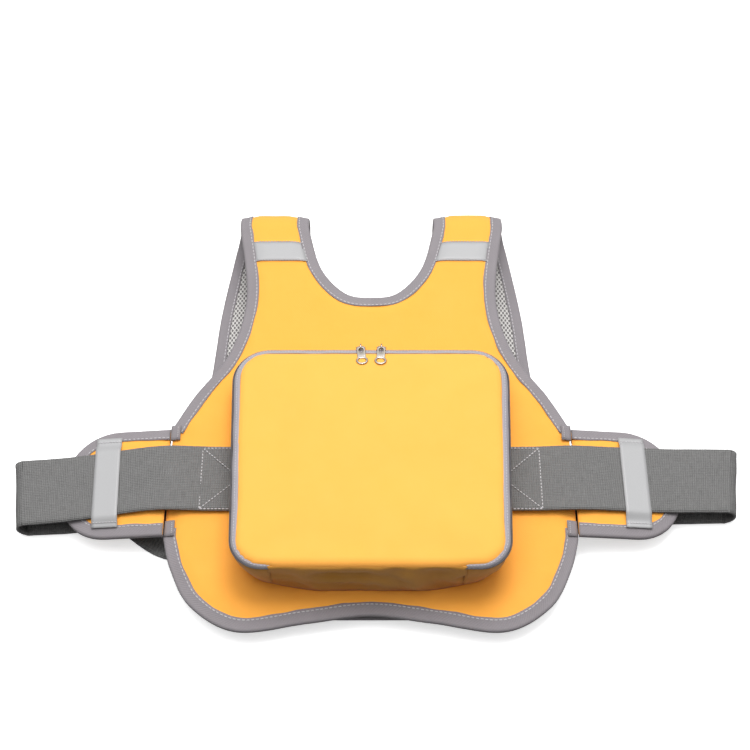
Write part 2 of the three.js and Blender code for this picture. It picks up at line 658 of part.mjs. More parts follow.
// The pocket's plan from the crease's right end round to its left end, moved inward.
function pocketPath(distance) {
  const corner = (cx, cy, radius, from) => Array.from({ length: ARC_STEPS + 1 }, (_, i) => {
    const angle = from + Math.PI / 2 * i / ARC_STEPS;
    return [cx + (radius - distance) * Math.cos(angle), cy + (radius - distance) * Math.sin(angle)];
  });
  const low = corner(POCKET_BOTTOM_HALF_WIDTH - POCKET_BOTTOM_CORNER,
    POCKET_BOTTOM_Y + POCKET_BOTTOM_CORNER, POCKET_BOTTOM_CORNER, -Math.PI / 2);
  const high = corner(POCKET_TOP_HALF_WIDTH - POCKET_TOP_CORNER,
    POCKET_TOP_Y - POCKET_TOP_CORNER, POCKET_TOP_CORNER, 0);
  const [a, b] = [low.at(-1), high[0]];
  const side = Array.from({ length: SIDE_STEPS - 1 }, (_, i) => {
    const share = (i + 1) / SIDE_STEPS;
    return [a[0] + share * (b[0] - a[0]), a[1] + share * (b[1] - a[1])];
  });
  const right = [...low, ...side, ...high];
  const edgeY = POCKET_BOTTOM_Y + distance;
  return [[CREASE_RIGHT_X, edgeY], ...right, ...right.map(flipX).reverse(), [CREASE_LEFT_X, edgeY]];
}

function wallCells(outside, inside, lowZ, highZ) {
  const ring = (i) => [[...outside[i], lowZ(outside[i][1])], [...inside[i], lowZ(inside[i][1])],
    [...inside[i], highZ(inside[i][1])], [...outside[i], highZ(outside[i][1])]];
  return outside.slice(1).map((_, i) => [...ring(i), ...ring(i + 1)]);
}

const rimAt = (drop) => (y) => rimZ(y) - drop;
const foot = (y) => fabricTopZ(y) + SEAT;
const LID_TAPE_LOW = GAP + ZIP_TAPE_HEIGHT;
const WALL_TAPE_HIGH = LID_TAPE_LOW + CHAIN_GAP;
const WALL_TAPE_LOW = WALL_TAPE_HIGH + ZIP_TAPE_HEIGHT;
const wallOutside = pocketPath(0);
const wallInside = pocketPath(WALL_THICKNESS);

add('pocket_side_gusset',
  solidOfCells(wallCells(wallOutside, wallInside, foot, rimAt(WALL_TAPE_LOW + GAP))), YELLOW);
add('zip_tape_wall_side',
  solidOfCells(wallCells(wallOutside, wallInside, rimAt(WALL_TAPE_LOW), rimAt(WALL_TAPE_HIGH))), LILAC);

const creaseAcross = (distance) =>
  [CREASE_LEFT_X + GAP, CREASE_RIGHT_X - GAP].map((x) => [x, POCKET_BOTTOM_Y + distance]);
add('pocket_bottom_gusset',
  solidOfCells(wallCells(creaseAcross(0), creaseAcross(WALL_THICKNESS), foot, rimAt(GAP))), YELLOW);

const lidGroup = new THREE.Group();
jacket.add(lidGroup);
const lidShape = new THREE.Shape(wallOutside.slice(1, -1).map(([x, y]) => new THREE.Vector2(x, y)));
const lidPlane = new THREE.Matrix4().set(
  1, 0, 0, 0,
  0, 1, 0, 0,
  0, lidSlope, 1, rimZ(0),
  0, 0, 0, 1,
);
add('pocket_lid', new THREE.ExtrudeGeometry(lidShape, { depth: LID_THICKNESS, bevelEnabled: false })
  .applyMatrix4(lidPlane), YELLOW, lidGroup);
add('zip_tape_lid_side',
  solidOfCells(wallCells(wallOutside, wallInside, rimAt(LID_TAPE_LOW), rimAt(GAP))), LILAC, lidGroup);

// ---------------------------------------------------------------- zip sliders and pull tabs
const CHAIN_Z = rimZ(POCKET_TOP_Y) - LID_TAPE_LOW - CHAIN_GAP / 2;
const KNUCKLE_RADIUS = 2;
const FRONT_PLATE_Y = POCKET_TOP_Y + SLIDER_CLEARANCE;
const REAR_PLATE_Y = POCKET_TOP_Y - WALL_THICKNESS - SLIDER_CLEARANCE;
const PIN_Y = FRONT_PLATE_Y + PLATE_THICKNESS / 2;
const PIN_Z = rimZ(POCKET_TOP_Y) + LID_THICKNESS + GAP + KNUCKLE_RADIUS;
const CHEEK = 1;
const CHEEK_GAP = 0.4;
const CHEEK_RISE = 1.5;
const BRIDGE_LENGTH = 2;
const BRIDGE_HEIGHT = 0.7;

function sliderGeometry(side) {
  const half = SLIDER_LENGTH / 2;
  const [low, high] = [CHAIN_Z - SLIDER_HEIGHT / 2, CHAIN_Z + SLIDER_HEIGHT / 2];
  const inner = -side * half;
  const cheekIn = KNUCKLE_WIDTH / 2 + CHEEK_GAP;
  const cheekOut = cheekIn + CHEEK;
  const cheeks = [-1, 1].map((end) => box(
    Math.min(end * cheekIn, end * cheekOut), Math.max(end * cheekIn, end * cheekOut),
    FRONT_PLATE_Y, FRONT_PLATE_Y + PLATE_THICKNESS, CHAIN_Z, PIN_Z + CHEEK_RISE));
  return joined(
    box(-half, half, FRONT_PLATE_Y, FRONT_PLATE_Y + PLATE_THICKNESS, low, high),
    box(-half, half, REAR_PLATE_Y - PLATE_THICKNESS, REAR_PLATE_Y, low, high),
    box(Math.min(inner, inner + side * BRIDGE_LENGTH), Math.max(inner, inner + side * BRIDGE_LENGTH),
      REAR_PLATE_Y - PLATE_THICKNESS, FRONT_PLATE_Y + PLATE_THICKNESS,
      CHAIN_Z - BRIDGE_HEIGHT / 2, CHAIN_Z + BRIDGE_HEIGHT / 2),
    ...cheeks,
    rodAlongX(PIN_RADIUS, -cheekOut, cheekOut, PIN_Y, PIN_Z, 16),
  );
}

function extrudedAlongX(shape, width) {
  return new THREE.ExtrudeGeometry(shape, { depth: width, bevelEnabled: false, curveSegments: 10 })
    .rotateY(Math.PI / 2).rotateX(Math.PI / 2).translate(-width / 2, 0, 0);
}

function ring(outer, inner) {
  const shape = new THREE.Shape().absarc(0, 0, outer, 0, 2 * Math.PI);
  shape.holes.push(new THREE.Path().absarc(0, 0, inner, 0, 2 * Math.PI));
  return shape;
}

function tabGeometry() {
  const start = KNUCKLE_RADIUS + 1.2;
  const round = TAB_WIDTH / 4;
  const half = TAB_WIDTH / 2;
  const plate = new THREE.Shape();
  plate.moveTo(-half, -start);
  plate.lineTo(-half, -TAB_LENGTH + round);
  plate.quadraticCurveTo(-half, -TAB_LENGTH, -half + round, -TAB_LENGTH);
  plate.lineTo(half - round, -TAB_LENGTH);
  plate.quadraticCurveTo(half, -TAB_LENGTH, half, -TAB_LENGTH + round);
  plate.lineTo(half, -start);
  const eye = new THREE.Path().absellipse(0, -TAB_LENGTH + TAB_WIDTH / 2, TAB_WIDTH / 4,
    TAB_WIDTH / 5, 0, 2 * Math.PI);
  plate.holes.push(eye);
  const sheet = new THREE.ExtrudeGeometry(plate,
    { depth: TAB_THICKNESS, bevelEnabled: false, curveSegments: 6 }).translate(0, 0, -KNUCKLE_RADIUS);
  const knuckle = extrudedAlongX(ring(KNUCKLE_RADIUS, PIN_RADIUS + GAP), KNUCKLE_WIDTH);
  const neck = box(-KNUCKLE_WIDTH / 2, KNUCKLE_WIDTH / 2, -start - 1, -PIN_RADIUS - GAP - 0.2,
    -KNUCKLE_RADIUS, -KNUCKLE_RADIUS + TAB_THICKNESS);
  return cut(joined(sheet, knuckle, neck), rodAlongX(PIN_RADIUS + GAP, -KNUCKLE_WIDTH, KNUCKLE_WIDTH, 0, 0));
}

for (const [name, side] of SIDES) {
  const group = new THREE.Group();
  group.position.set(side * SLIDER_HALF_SPACING, 0, 0);
  lidGroup.add(group);
  add(`zip_slider_${name}`, sliderGeometry(side), NICKEL, group);
  const tab = add(`pull_tab_${name}`, tabGeometry(), NICKEL, group);
  tab.position.set(0, PIN_Y, PIN_Z);
  tab.rotation.x = Math.atan(lidSlope);
}

// ---------------------------------------------------------------- bladder, inflator and cylinder
const EDGE = 12;
const bladderRows = [BLADDER_BOTTOM_Y, BLADDER_BOTTOM_Y + EDGE, BLADDER_TOP_Y - EDGE, BLADDER_TOP_Y];
const bladderColumns = [-BLADDER.halfWidth, -BLADDER.halfWidth + EDGE, BLADDER.halfWidth - EDGE,
  BLADDER.halfWidth];
const last = bladderRows.length - 1;

function bladderCorner(i, j, top) {
  const onRim = [0, last].includes(i) || [0, last].includes(j);
  const share = onRim ? 0.5 + (top ? 0.2 : -0.2) : Number(top);
  const y = bladderRows[j];
  return [bladderColumns[i], y, fabricTopZ(y) + SEAT + share * BLADDER.thickness];
}

const bladderCells = [];
for (let i = 0; i < last; i++) {
  for (let j = 0; j < last; j++) {
    const face = (top) => [[i, j], [i + 1, j], [i + 1, j + 1], [i, j + 1]]
      .map(([a, b]) => bladderCorner(a, b, top));
    bladderCells.push([...face(false), ...face(true)]);
  }
}
add('bladder', solidOfCells(bladderCells), BLADDER_YELLOW);

const cylinderZ = fabricTopZ(INFLATOR_Y + CYLINDER_RADIUS) + SEAT + CYLINDER_RADIUS;
const SHOULDER_LENGTH = 12;
const CYLINDER_SIDES = 24;
const neckEnd = INFLATOR.x + CYLINDER_NECK_LENGTH;
const cylinderProfile = [[0, 0], [CYLINDER_NECK_RADIUS, 0],
  [CYLINDER_NECK_RADIUS, -CYLINDER_NECK_LENGTH - 1],
  [CYLINDER_RADIUS * 0.75, -CYLINDER_NECK_LENGTH - SHOULDER_LENGTH * 0.5],
  [CYLINDER_RADIUS, -CYLINDER_NECK_LENGTH - SHOULDER_LENGTH],
  [CYLINDER_RADIUS, -CYLINDER_NECK_LENGTH - CYLINDER_LENGTH + 4],
  [CYLINDER_RADIUS - 4, -CYLINDER_NECK_LENGTH - CYLINDER_LENGTH],
  [0, -CYLINDER_NECK_LENGTH - CYLINDER_LENGTH]].map(([r, y]) => new THREE.Vector2(r, y)).reverse();
add('gas_cylinder', new THREE.LatheGeometry(cylinderProfile, CYLINDER_SIDES)
  .rotateZ(-Math.PI / 2).translate(neckEnd, INFLATOR_Y, cylinderZ), STEEL);

const inflatorLow = fabricTopZ(INFLATOR_Y + INFLATOR.width / 2) + SEAT;
const inflatorTop = inflatorLow + INFLATOR.height;
const inflatorFace = INFLATOR_Y + INFLATOR.width / 2;
const leverX = INFLATOR.x + INFLATOR.length / 2;
const pivotRadius = LEVER.pinRadius + GAP + 1.4;
const pivot = { y: inflatorFace + pivotRadius + 0.8, z: inflatorTop - pivotRadius - 2 };
const LUG = 2;
const lugs = [-1, 1].map((end) => {
  const near = LEVER.width / 2 + CHEEK_GAP;
  const [a, b] = [leverX + end * near, leverX + end * (near + LUG)];
  return box(Math.min(a, b), Math.max(a, b), inflatorFace - 1, pivot.y + pivotRadius,
    pivot.z - pivotRadius, pivot.z + pivotRadius);
});
const lugReach = LEVER.width / 2 + CHEEK_GAP + LUG;
add('inflator_body', cut(joined(
  box(INFLATOR.x, INFLATOR.x + INFLATOR.length, INFLATOR_Y - INFLATOR.width / 2, inflatorFace,
    inflatorLow, inflatorTop),
  ...lugs,
  rodAlongX(LEVER.pinRadius, leverX - lugReach, leverX + lugReach, pivot.y, pivot.z, 16),
), rodAlongX(CYLINDER_NECK_RADIUS + GAP, INFLATOR.x - 1, neckEnd + GAP, INFLATOR_Y, cylinderZ)),
BLACK_PLASTIC);

const leverArm = box(-LEVER.width / 2, LEVER.width / 2, -LEVER.thickness / 2, LEVER.thickness / 2,
  -LEVER.length, -LEVER.pinRadius - GAP - 0.3);
const lever = add('inflation_lever', cut(
  joined(extrudedAlongX(ring(pivotRadius, LEVER.pinRadius + GAP), LEVER.width), leverArm),
  rodAlongX(LEVER.pinRadius + GAP, -LEVER.width, LEVER.width, 0, 0)), LEVER_RED);
lever.position.set(leverX, pivot.y, pivot.z);

// ---------------------------------------------------------------- oral tube and its dust cap
const tubeZ = fabricTopZ(BLADDER_BOTTOM_Y) + SEAT + BLADDER.thickness / 2;
const tubeEndX = TUBE.x + TUBE.reach;
const tubeRoute = new THREE.CurvePath();
const at = (x, y) => new THREE.Vector3(x, y, tubeZ);
tubeRoute.add(new THREE.LineCurve3(at(TUBE.x, BLADDER_BOTTOM_Y - GAP), at(TUBE.x, TUBE_Y + TUBE.bend)));
tubeRoute.add(new THREE.QuadraticBezierCurve3(at(TUBE.x, TUBE_Y + TUBE.bend), at(TUBE.x, TUBE_Y),
  at(TUBE.x + TUBE.bend, TUBE_Y)));
tubeRoute.add(new THREE.LineCurve3(at(TUBE.x + TUBE.bend, TUBE_Y), at(tubeEndX, TUBE_Y)));
const tubeSection = new THREE.Shape().absarc(0, 0, TUBE.radius, 0, 2 * Math.PI);
add('oral_tube', new THREE.ExtrudeGeometry(tubeSection,
  { steps: 18, curveSegments: 6, extrudePath: tubeRoute }), BLACK_PLASTIC);

const CAP_COVER = 8;
const capInside = TUBE.radius + GAP + 0.2;
const capProfile = [[0, CAP_COVER + GAP], [capInside, CAP_COVER + GAP], [capInside, 0], [CAP_RADIUS, 0],
  [CAP_RADIUS, CAP_LENGTH], [0, CAP_LENGTH]].map(([r, y]) => new THREE.Vector2(r, y));
add('tube_cap', new THREE.LatheGeometry(capProfile, CYLINDER_SIDES)
  .rotateZ(-Math.PI / 2).translate(tubeEndX - CAP_COVER, TUBE_Y, tubeZ), LEVER_RED);

export default jacket;
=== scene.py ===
# %% [markdown]
# # An inflatable life jacket, finished around its frame
# The frame holds the working model: panels, bindings, pocket, bands and every joint. This lesson
# gives each of those pieces its real surface. Cloth parts are cut flat, as a sail loft would cut
# them, and then laid over the same curves as the frame, so that each one drops into its place.

# %% Load the frame
import math

import bmesh
import bpy
import numpy as np
from mathutils import Matrix, Vector, noise


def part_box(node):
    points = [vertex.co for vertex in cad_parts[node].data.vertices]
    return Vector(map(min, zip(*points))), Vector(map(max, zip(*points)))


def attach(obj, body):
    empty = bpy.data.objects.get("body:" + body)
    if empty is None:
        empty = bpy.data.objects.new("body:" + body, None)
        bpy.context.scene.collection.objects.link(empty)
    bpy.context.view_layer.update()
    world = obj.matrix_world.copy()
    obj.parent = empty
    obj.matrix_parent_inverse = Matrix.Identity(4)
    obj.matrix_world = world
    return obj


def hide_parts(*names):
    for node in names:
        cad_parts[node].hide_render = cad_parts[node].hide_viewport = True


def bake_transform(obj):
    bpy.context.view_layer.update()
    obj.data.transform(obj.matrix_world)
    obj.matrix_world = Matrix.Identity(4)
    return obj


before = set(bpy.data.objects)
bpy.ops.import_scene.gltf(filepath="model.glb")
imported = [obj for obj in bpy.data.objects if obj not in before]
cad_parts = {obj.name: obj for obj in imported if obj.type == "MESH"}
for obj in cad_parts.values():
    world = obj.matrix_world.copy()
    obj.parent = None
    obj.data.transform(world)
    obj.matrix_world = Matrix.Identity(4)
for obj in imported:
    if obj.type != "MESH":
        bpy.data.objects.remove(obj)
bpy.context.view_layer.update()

# %% [markdown]
# ## Camera, floor and light
# A jacket is shown flat on a pale table, from the hem side and well above it. The camera comes
# first, because everything else is judged through it. One broad lamp beyond the collar gives the
# soft shade under the pocket's near edge, and pale surroundings keep the rest open.

# %% Camera, floor and light
TARGET = Vector((0.0033, 0.0275, 0.030))
ELEVATION = math.radians(58)
DISTANCE = 1.239
scene = bpy.context.scene
scene.view_settings.view_transform = "Standard"

camera = bpy.data.objects.new("camera", bpy.data.cameras.new("camera"))
camera.data.sensor_width = 36
camera.data.lens = 70
camera.location = TARGET + DISTANCE * Vector((0, -math.cos(ELEVATION), math.sin(ELEVATION)))
camera.rotation_euler = (math.pi / 2 - ELEVATION, 0, 0)
scene.collection.objects.link(camera)
scene.camera = camera

world = bpy.data.worlds.new("pale_room")
world.use_nodes = True
sky = world.node_tree.nodes["Background"]
sky.inputs["Color"].default_value = (1, 1, 1, 1)
toward = world.node_tree.nodes.new("ShaderNodeTexCoord")
slope = world.node_tree.nodes.new("ShaderNodeVectorMath")
slope.operation = "DOT_PRODUCT"
slope.inputs[1].default_value = (0.0, 0.30, 0.95)
spread = world.node_tree.nodes.new("ShaderNodeMapRange")
spread.inputs["From Min"].default_value = 0.30
spread.inputs["From Max"].default_value = 0.9
spread.inputs["To Min"].default_value = 0.02
spread.inputs["To Max"].default_value = 1.32
world.node_tree.links.new(toward.outputs["Generated"], slope.inputs[0])
world.node_tree.links.new(slope.outputs["Value"], spread.inputs["Value"])
world.node_tree.links.new(spread.outputs[0], sky.inputs["Strength"])
scene.world = world


def area_lamp(name, place, aim, size, power):
    lamp = bpy.data.lights.new(name, "AREA")
    lamp.shape = "DISK"
    lamp.size = size
    lamp.energy = power
    thing = bpy.data.objects.new(name, lamp)
    thing.location = place
    thing.rotation_euler = (Vector(aim) - Vector(place)).to_track_quat("-Z", "Y").to_euler()
    scene.collection.objects.link(thing)


area_lamp("collar_side_lamp", (0.2, 0.42, 1.85), (0, 0, 0), 0.9, 22)
area_lamp("overhead_lamp", (-0.35, 0.1, 1.8), (0, 0, 0), 1.1, 8)

MM = 0.001
UP = Vector((0, 0, 1))

# %% [markdown]
# ## Small workshop helpers
# Every piece becomes one mesh object at the origin. It rides on a body of the frame and hides the
# plain solid that it stands for.

# %% Helpers that finish a piece
def new_object(name, bm, material, smooth=True):
    mesh = bpy.data.meshes.new(name)
    bm.to_mesh(mesh)
    bm.free()
    mesh.materials.append(material)
    for polygon in mesh.polygons:
        polygon.use_smooth = smooth
    piece = bpy.data.objects.new(name, mesh)
    scene.collection.objects.link(piece)
    return piece


def place(piece, body, slot, *nodes):
    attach(piece, body)
    if nodes:
        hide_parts(*nodes)
    return piece


def smoothstep(low, high, value):
    share = np.clip((value - low) / (high - low), 0, 1)
    return share * share * (3 - 2 * share)


def spline(points, count, before=None):
    """A smooth line through the points. Before is the point ahead of the first, where one is known."""
    p = np.array([points[0] if before is None else before, *points, points[-1]], float)
    line = []
    for k in range(count + 1):
        where = k / count * (len(points) - 1)
        i = min(int(where), len(points) - 2)
        f = where - i
        a, b, c, d = p[i:i + 4]
        line.append(0.5 * (2 * b + (c - a) * f + (2 * a - 5 * b + 4 * c - d) * f * f
                           + (3 * b - a - 3 * c + d) * f ** 3))
    return np.array(line)


# %% [markdown]
# ## Cloth finishes
# Three shader groups serve every textile here: a plain weave, a twill and a ribbed elastic. Each
# takes the piece's own flat-pattern map in metres, so the threads follow the cloth round a fold.
# A group only mixes colours and heights. The shader stays in each material.

# %% Node helpers
def group_tree(name, inputs, outputs):
    tree = bpy.data.node_groups.new(name, "ShaderNodeTree")
    for label, kind, default in inputs:
        socket = tree.interface.new_socket(label, in_out="INPUT", socket_type=kind)
        if default is not None:
            socket.default_value = default
    for label, kind in outputs:
        tree.interface.new_socket(label, in_out="OUTPUT", socket_type=kind)
    return tree, tree.nodes.new("NodeGroupInput"), tree.nodes.new("NodeGroupOutput")


def maths(tree, operation, a, b=None, clamp=False):
    node = tree.nodes.new("ShaderNodeMath")
    node.operation = operation
    node.use_clamp = clamp
    for socket, value in zip(node.inputs, (a, b)):
        if value is None:
            continue
        if hasattr(value, "links"):
            tree.links.new(value, socket)
        else:
            socket.default_value = value
    return node.outputs[0]


def mix_colour(tree, factor, a, b):
    node = tree.nodes.new("ShaderNodeMix")
    node.data_type = "RGBA"
    for socket, value in ((node.inputs[0], factor), (node.inputs[6], a), (node.inputs[7], b)):
        if hasattr(value, "links"):
            tree.links.new(value, socket)
        else:
            socket.default_value = value
    return node.outputs[2]


def noise_value(tree, vector, scale, detail=3.0, rough=0.6):
    node = tree.nodes.new("ShaderNodeTexNoise")
    node.inputs["Scale"].default_value = scale
    node.inputs["Detail"].default_value = detail
    node.inputs["Roughness"].default_value = rough
    tree.links.new(vector, node.inputs["Vector"])
    return node.outputs["Fac"]


VECTOR = "NodeSocketVector"
COLOUR = "NodeSocketColor"
FLOAT = "NodeSocketFloat"


# %% [markdown]
# ## Woven cloth
# Two sine waves at right angles make a plain weave. Adding them on the diagonal makes a twill.
# Slow noise then mottles the dye, since no cloth is one even colour.

# %% A woven cloth group
def weave_group(name, twill):
    """Threads cross at right angles. In a twill each crossing steps along by one, which draws
    diagonal ribs."""
    tree, source, result = group_tree(
        name,
        [("Map", VECTOR, None), ("Cloth", COLOUR, None), ("Shade", COLOUR, None),
         ("Threads", FLOAT, 1200.0), ("Mottle", FLOAT, 0.25)],
        [("Colour", COLOUR), ("Height", FLOAT), ("Roughness", FLOAT)])
    split = tree.nodes.new("ShaderNodeSeparateXYZ")
    tree.links.new(source.outputs["Map"], split.inputs[0])
    warp = maths(tree, "MULTIPLY", split.outputs[0], source.outputs["Threads"])
    weft = maths(tree, "MULTIPLY", split.outputs[1], source.outputs["Threads"])
    if twill:
        diagonal = maths(tree, "SINE", maths(tree, "MULTIPLY", maths(tree, "ADD", warp, weft), 2.2))
        across = maths(tree, "SINE", maths(tree, "MULTIPLY", maths(tree, "SUBTRACT", warp, weft), 6.28))
        threads = maths(tree, "ADD", maths(tree, "MULTIPLY", diagonal, 0.7),
                        maths(tree, "MULTIPLY", across, 0.3))
    else:
        threads = maths(tree, "MULTIPLY", maths(tree, "SINE", maths(tree, "MULTIPLY", warp, 3.14)),
                        maths(tree, "SINE", maths(tree, "MULTIPLY", weft, 3.14)))
    slub = noise_value(tree, source.outputs["Map"], 900.0, 2.0)
    patch = noise_value(tree, source.outputs["Map"], 38.0, 4.0)
    height = maths(tree, "ADD", maths(tree, "MULTIPLY", threads, 0.5), slub)
    tone = maths(tree, "ADD", maths(tree, "MULTIPLY", threads, -0.18),
                 maths(tree, "ADD", maths(tree, "MULTIPLY", patch, 0.6), maths(tree, "MULTIPLY", slub, 0.4)))
    mask = maths(tree, "MULTIPLY", tone, source.outputs["Mottle"], clamp=True)
    colour = mix_colour(tree, mask, source.outputs["Cloth"], source.outputs["Shade"])
    tree.links.new(colour, result.inputs["Colour"])
    tree.links.new(height, result.inputs["Height"])
    tree.links.new(maths(tree, "ADD", maths(tree, "MULTIPLY", patch, 0.15), 0.72), result.inputs["Roughness"])
    return tree


PLAIN_WEAVE = weave_group("plain_weave", False)
TWILL = weave_group("twill_weave", True)


# %% [markdown]
# ## Ribbed elastic
# Elastic shows fine cords along its length. Stretched noise draws streaks along them and bars
# across them, where the rubber pulls unevenly.

# %% A ribbed elastic group
def elastic_group():
    """Woven elastic: fine cords along its length, crossed by tighter lines where the rubber pulls."""
    tree, source, result = group_tree(
        "ribbed_elastic",
        [("Map", VECTOR, None), ("Cloth", COLOUR, None), ("Shade", COLOUR, None)],
        [("Colour", COLOUR), ("Height", FLOAT), ("Roughness", FLOAT)])
    split = tree.nodes.new("ShaderNodeSeparateXYZ")
    tree.links.new(source.outputs["Map"], split.inputs[0])
    wobble = noise_value(tree, source.outputs["Map"], 60.0, 2.0)
    along = maths(tree, "ADD", maths(tree, "MULTIPLY", split.outputs[0], 3400.0),
                  maths(tree, "MULTIPLY", wobble, 3.0))
    across = maths(tree, "ADD", maths(tree, "MULTIPLY", split.outputs[1], 4100.0),
                   maths(tree, "MULTIPLY", wobble, 1.5))
    cords = maths(tree, "SINE", across)
    picks = maths(tree, "SINE", along)
    stretch = tree.nodes.new("ShaderNodeMapping")
    stretch.inputs["Scale"].default_value = (1.0, 16.0, 1.0)
    tree.links.new(source.outputs["Map"], stretch.inputs["Vector"])
    streaks = noise_value(tree, stretch.outputs[0], 110.0, 4.0, 0.7)
    bars = tree.nodes.new("ShaderNodeMapping")
    bars.inputs["Scale"].default_value = (14.0, 1.0, 1.0)
    tree.links.new(source.outputs["Map"], bars.inputs["Vector"])
    bands = noise_value(tree, bars.outputs[0], 90.0, 3.0, 0.7)
    height = maths(tree, "ADD", maths(tree, "MULTIPLY", cords, 0.35), maths(tree, "MULTIPLY", picks, 0.45))
    tone = maths(tree, "ADD", maths(tree, "MULTIPLY", height, 0.16),
                 maths(tree, "ADD", maths(tree, "MULTIPLY", streaks, 0.85),
                       maths(tree, "MULTIPLY", bands, 0.75)))
    mask = maths(tree, "SUBTRACT", tone, 0.35, clamp=True)
    tree.links.new(mix_colour(tree, mask, source.outputs["Cloth"], source.outputs["Shade"]),
                   result.inputs["Colour"])
    tree.links.new(height, result.inputs["Height"])
    tree.links.new(maths(tree, "ADD", maths(tree, "MULTIPLY", streaks, 0.2), 0.7), result.inputs["Roughness"])
    return tree


ELASTIC_RIBS = elastic_group()


# %% [markdown]
# ## From a group to a material
# A material holds the shader and the bump, and takes colour, height and roughness from its group.
# All the cloths of the jacket are then one line each.

# %% Turning a group into a material
def shader_material(name, roughness=0.6, metallic=0.0, sheen=0.0):
    material = bpy.data.materials.new(name)
    material.use_nodes = True
    shader = material.node_tree.nodes["Principled BSDF"]
    shader.inputs["Roughness"].default_value = roughness
    shader.inputs["Metallic"].default_value = metallic
    shader.inputs["Sheen Weight"].default_value = sheen
    return material, material.node_tree, shader


def cloth_material(name, group, cloth, shade, relief=0.25, depth=0.0004, sheen=0.15, **values):
    material, tree, shader = shader_material(name, sheen=sheen)
    flat_map = tree.nodes.new("ShaderNodeUVMap")
    flat_map.uv_map = "flat"
    node = tree.nodes.new("ShaderNodeGroup")
    node.node_tree = group
    node.inputs["Cloth"].default_value = (*cloth, 1)
    node.inputs["Shade"].default_value = (*shade, 1)
    for label, value in values.items():
        node.inputs[label].default_value = value
    bump = tree.nodes.new("ShaderNodeBump")
    bump.inputs["Strength"].default_value = relief
    bump.inputs["Distance"].default_value = depth
    tree.links.new(flat_map.outputs[0], node.inputs["Map"])
    tree.links.new(node.outputs["Colour"], shader.inputs["Base Color"])
    tree.links.new(node.outputs["Roughness"], shader.inputs["Roughness"])
    tree.links.new(node.outputs["Height"], bump.inputs["Height"])
    tree.links.new(bump.outputs[0], shader.inputs["Normal"])
    return material


YELLOW_CLOTH = cloth_material("yellow_canvas", PLAIN_WEAVE, (0.95, 0.410, 0.050), (0.82, 0.30, 0.025),
                              Threads=1250.0, Mottle=0.30)
LID_CLOTH = cloth_material("lid_canvas", PLAIN_WEAVE, (0.96, 0.430, 0.066), (0.86, 0.34, 0.04),
                           Threads=1700.0, Mottle=0.34, relief=0.22)
BINDING_CLOTH = cloth_material("binding_tape", TWILL, (0.262, 0.240, 0.254), (0.155, 0.142, 0.151),
                               Threads=1150.0, Mottle=0.62, relief=0.4)
ELASTIC_CLOTH = cloth_material("waist_elastic", ELASTIC_RIBS, (0.215, 0.213, 0.210), (0.065, 0.064, 0.063),
                               relief=0.6, depth=0.0006, sheen=0.05)
ZIP_CLOTH = cloth_material("zip_tape", TWILL, (0.36, 0.34, 0.375), (0.23, 0.22, 0.24),
                           Threads=1500.0, Mottle=0.6)
# The pocket walls' nylon is given a darker yellow than the canvas. That darkness is painted shade for the
# walls tucked under the lid.
WALL_NYLON_PAINTED_SHADE = cloth_material("wall_nylon_painted_shade", PLAIN_WEAVE, (0.60, 0.27, 0.030), (0.42, 0.17, 0.015),
                              Threads=2000.0, Mottle=0.5, relief=0.15)
print("cloth finishes ready")

# %% [markdown]
# ## How the panels lie
# Each panel is cut flat and then laid: it climbs gently from the hem to the shoulder and turns
# over a round fold there. A place on a panel is x across it, s up it, and t through its
# thickness. The same two functions lay every layer, binding and stitch, so all of them agree.

# %% The laying curves
HEM_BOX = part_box("side_hem_binding_front")
NECK_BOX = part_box("neck_binding")
BACK_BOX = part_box("side_hem_binding_back")
PANEL = BACK_BOX[1].z - BACK_BOX[0].z
HEM_Y = HEM_BOX[0].y
HEM_TOP = HEM_BOX[0].z + PANEL
FOLD_RADIUS = NECK_BOX[1].z / 2
FOLD_Y = NECK_BOX[1].y - FOLD_RADIUS
MID_RADIUS = FOLD_RADIUS - PANEL / 2
APEX = FOLD_Y + MID_RADIUS * math.pi / 2


def front_top(y):
    return HEM_TOP + (2 * FOLD_RADIUS - HEM_TOP) * float(smoothstep(HEM_Y, FOLD_Y, y))


def over_fold(x, angle, t):
    radius = FOLD_RADIUS - PANEL + t
    return Vector((x, FOLD_Y + radius * math.sin(angle), FOLD_RADIUS + radius * math.cos(angle)))


def on_front(x, s, t):
    if s > FOLD_Y:
        return over_fold(x, (s - FOLD_Y) / MID_RADIUS, t)
    return Vector((x, s, front_top(s) - PANEL + t))


def on_back(x, s, t):
    if s > FOLD_Y:
        return over_fold(x, math.pi - (s - FOLD_Y) / MID_RADIUS, t)
    return Vector((x, s, PANEL - t))


print("fold radius", round(FOLD_RADIUS, 4), "apex at", round(APEX, 4))

# %% [markdown]
# ## The panels' outlines
# Half of each panel is three smooth lines: hem and side, armhole, and neck. The other half is
# their mirror image. Both panels end at the apex of the fold, where they meet.

# %% The panel outlines
CHEST = HEM_BOX[1].x
BACK_WIDTH = BACK_BOX[1].x
TAPE = 11 * MM
FRONT_NECK = NECK_BOX[0].y + TAPE
BACK_NECK = 121 * MM
NECK_HALF = NECK_BOX[1].x - TAPE
SHOULDER = 116 * MM
BACK_STRAP = 122 * MM
HEM_RISE = 13 * MM
SIDE_RISE = 76 * MM
SIDE_LENGTH = 96 * MM


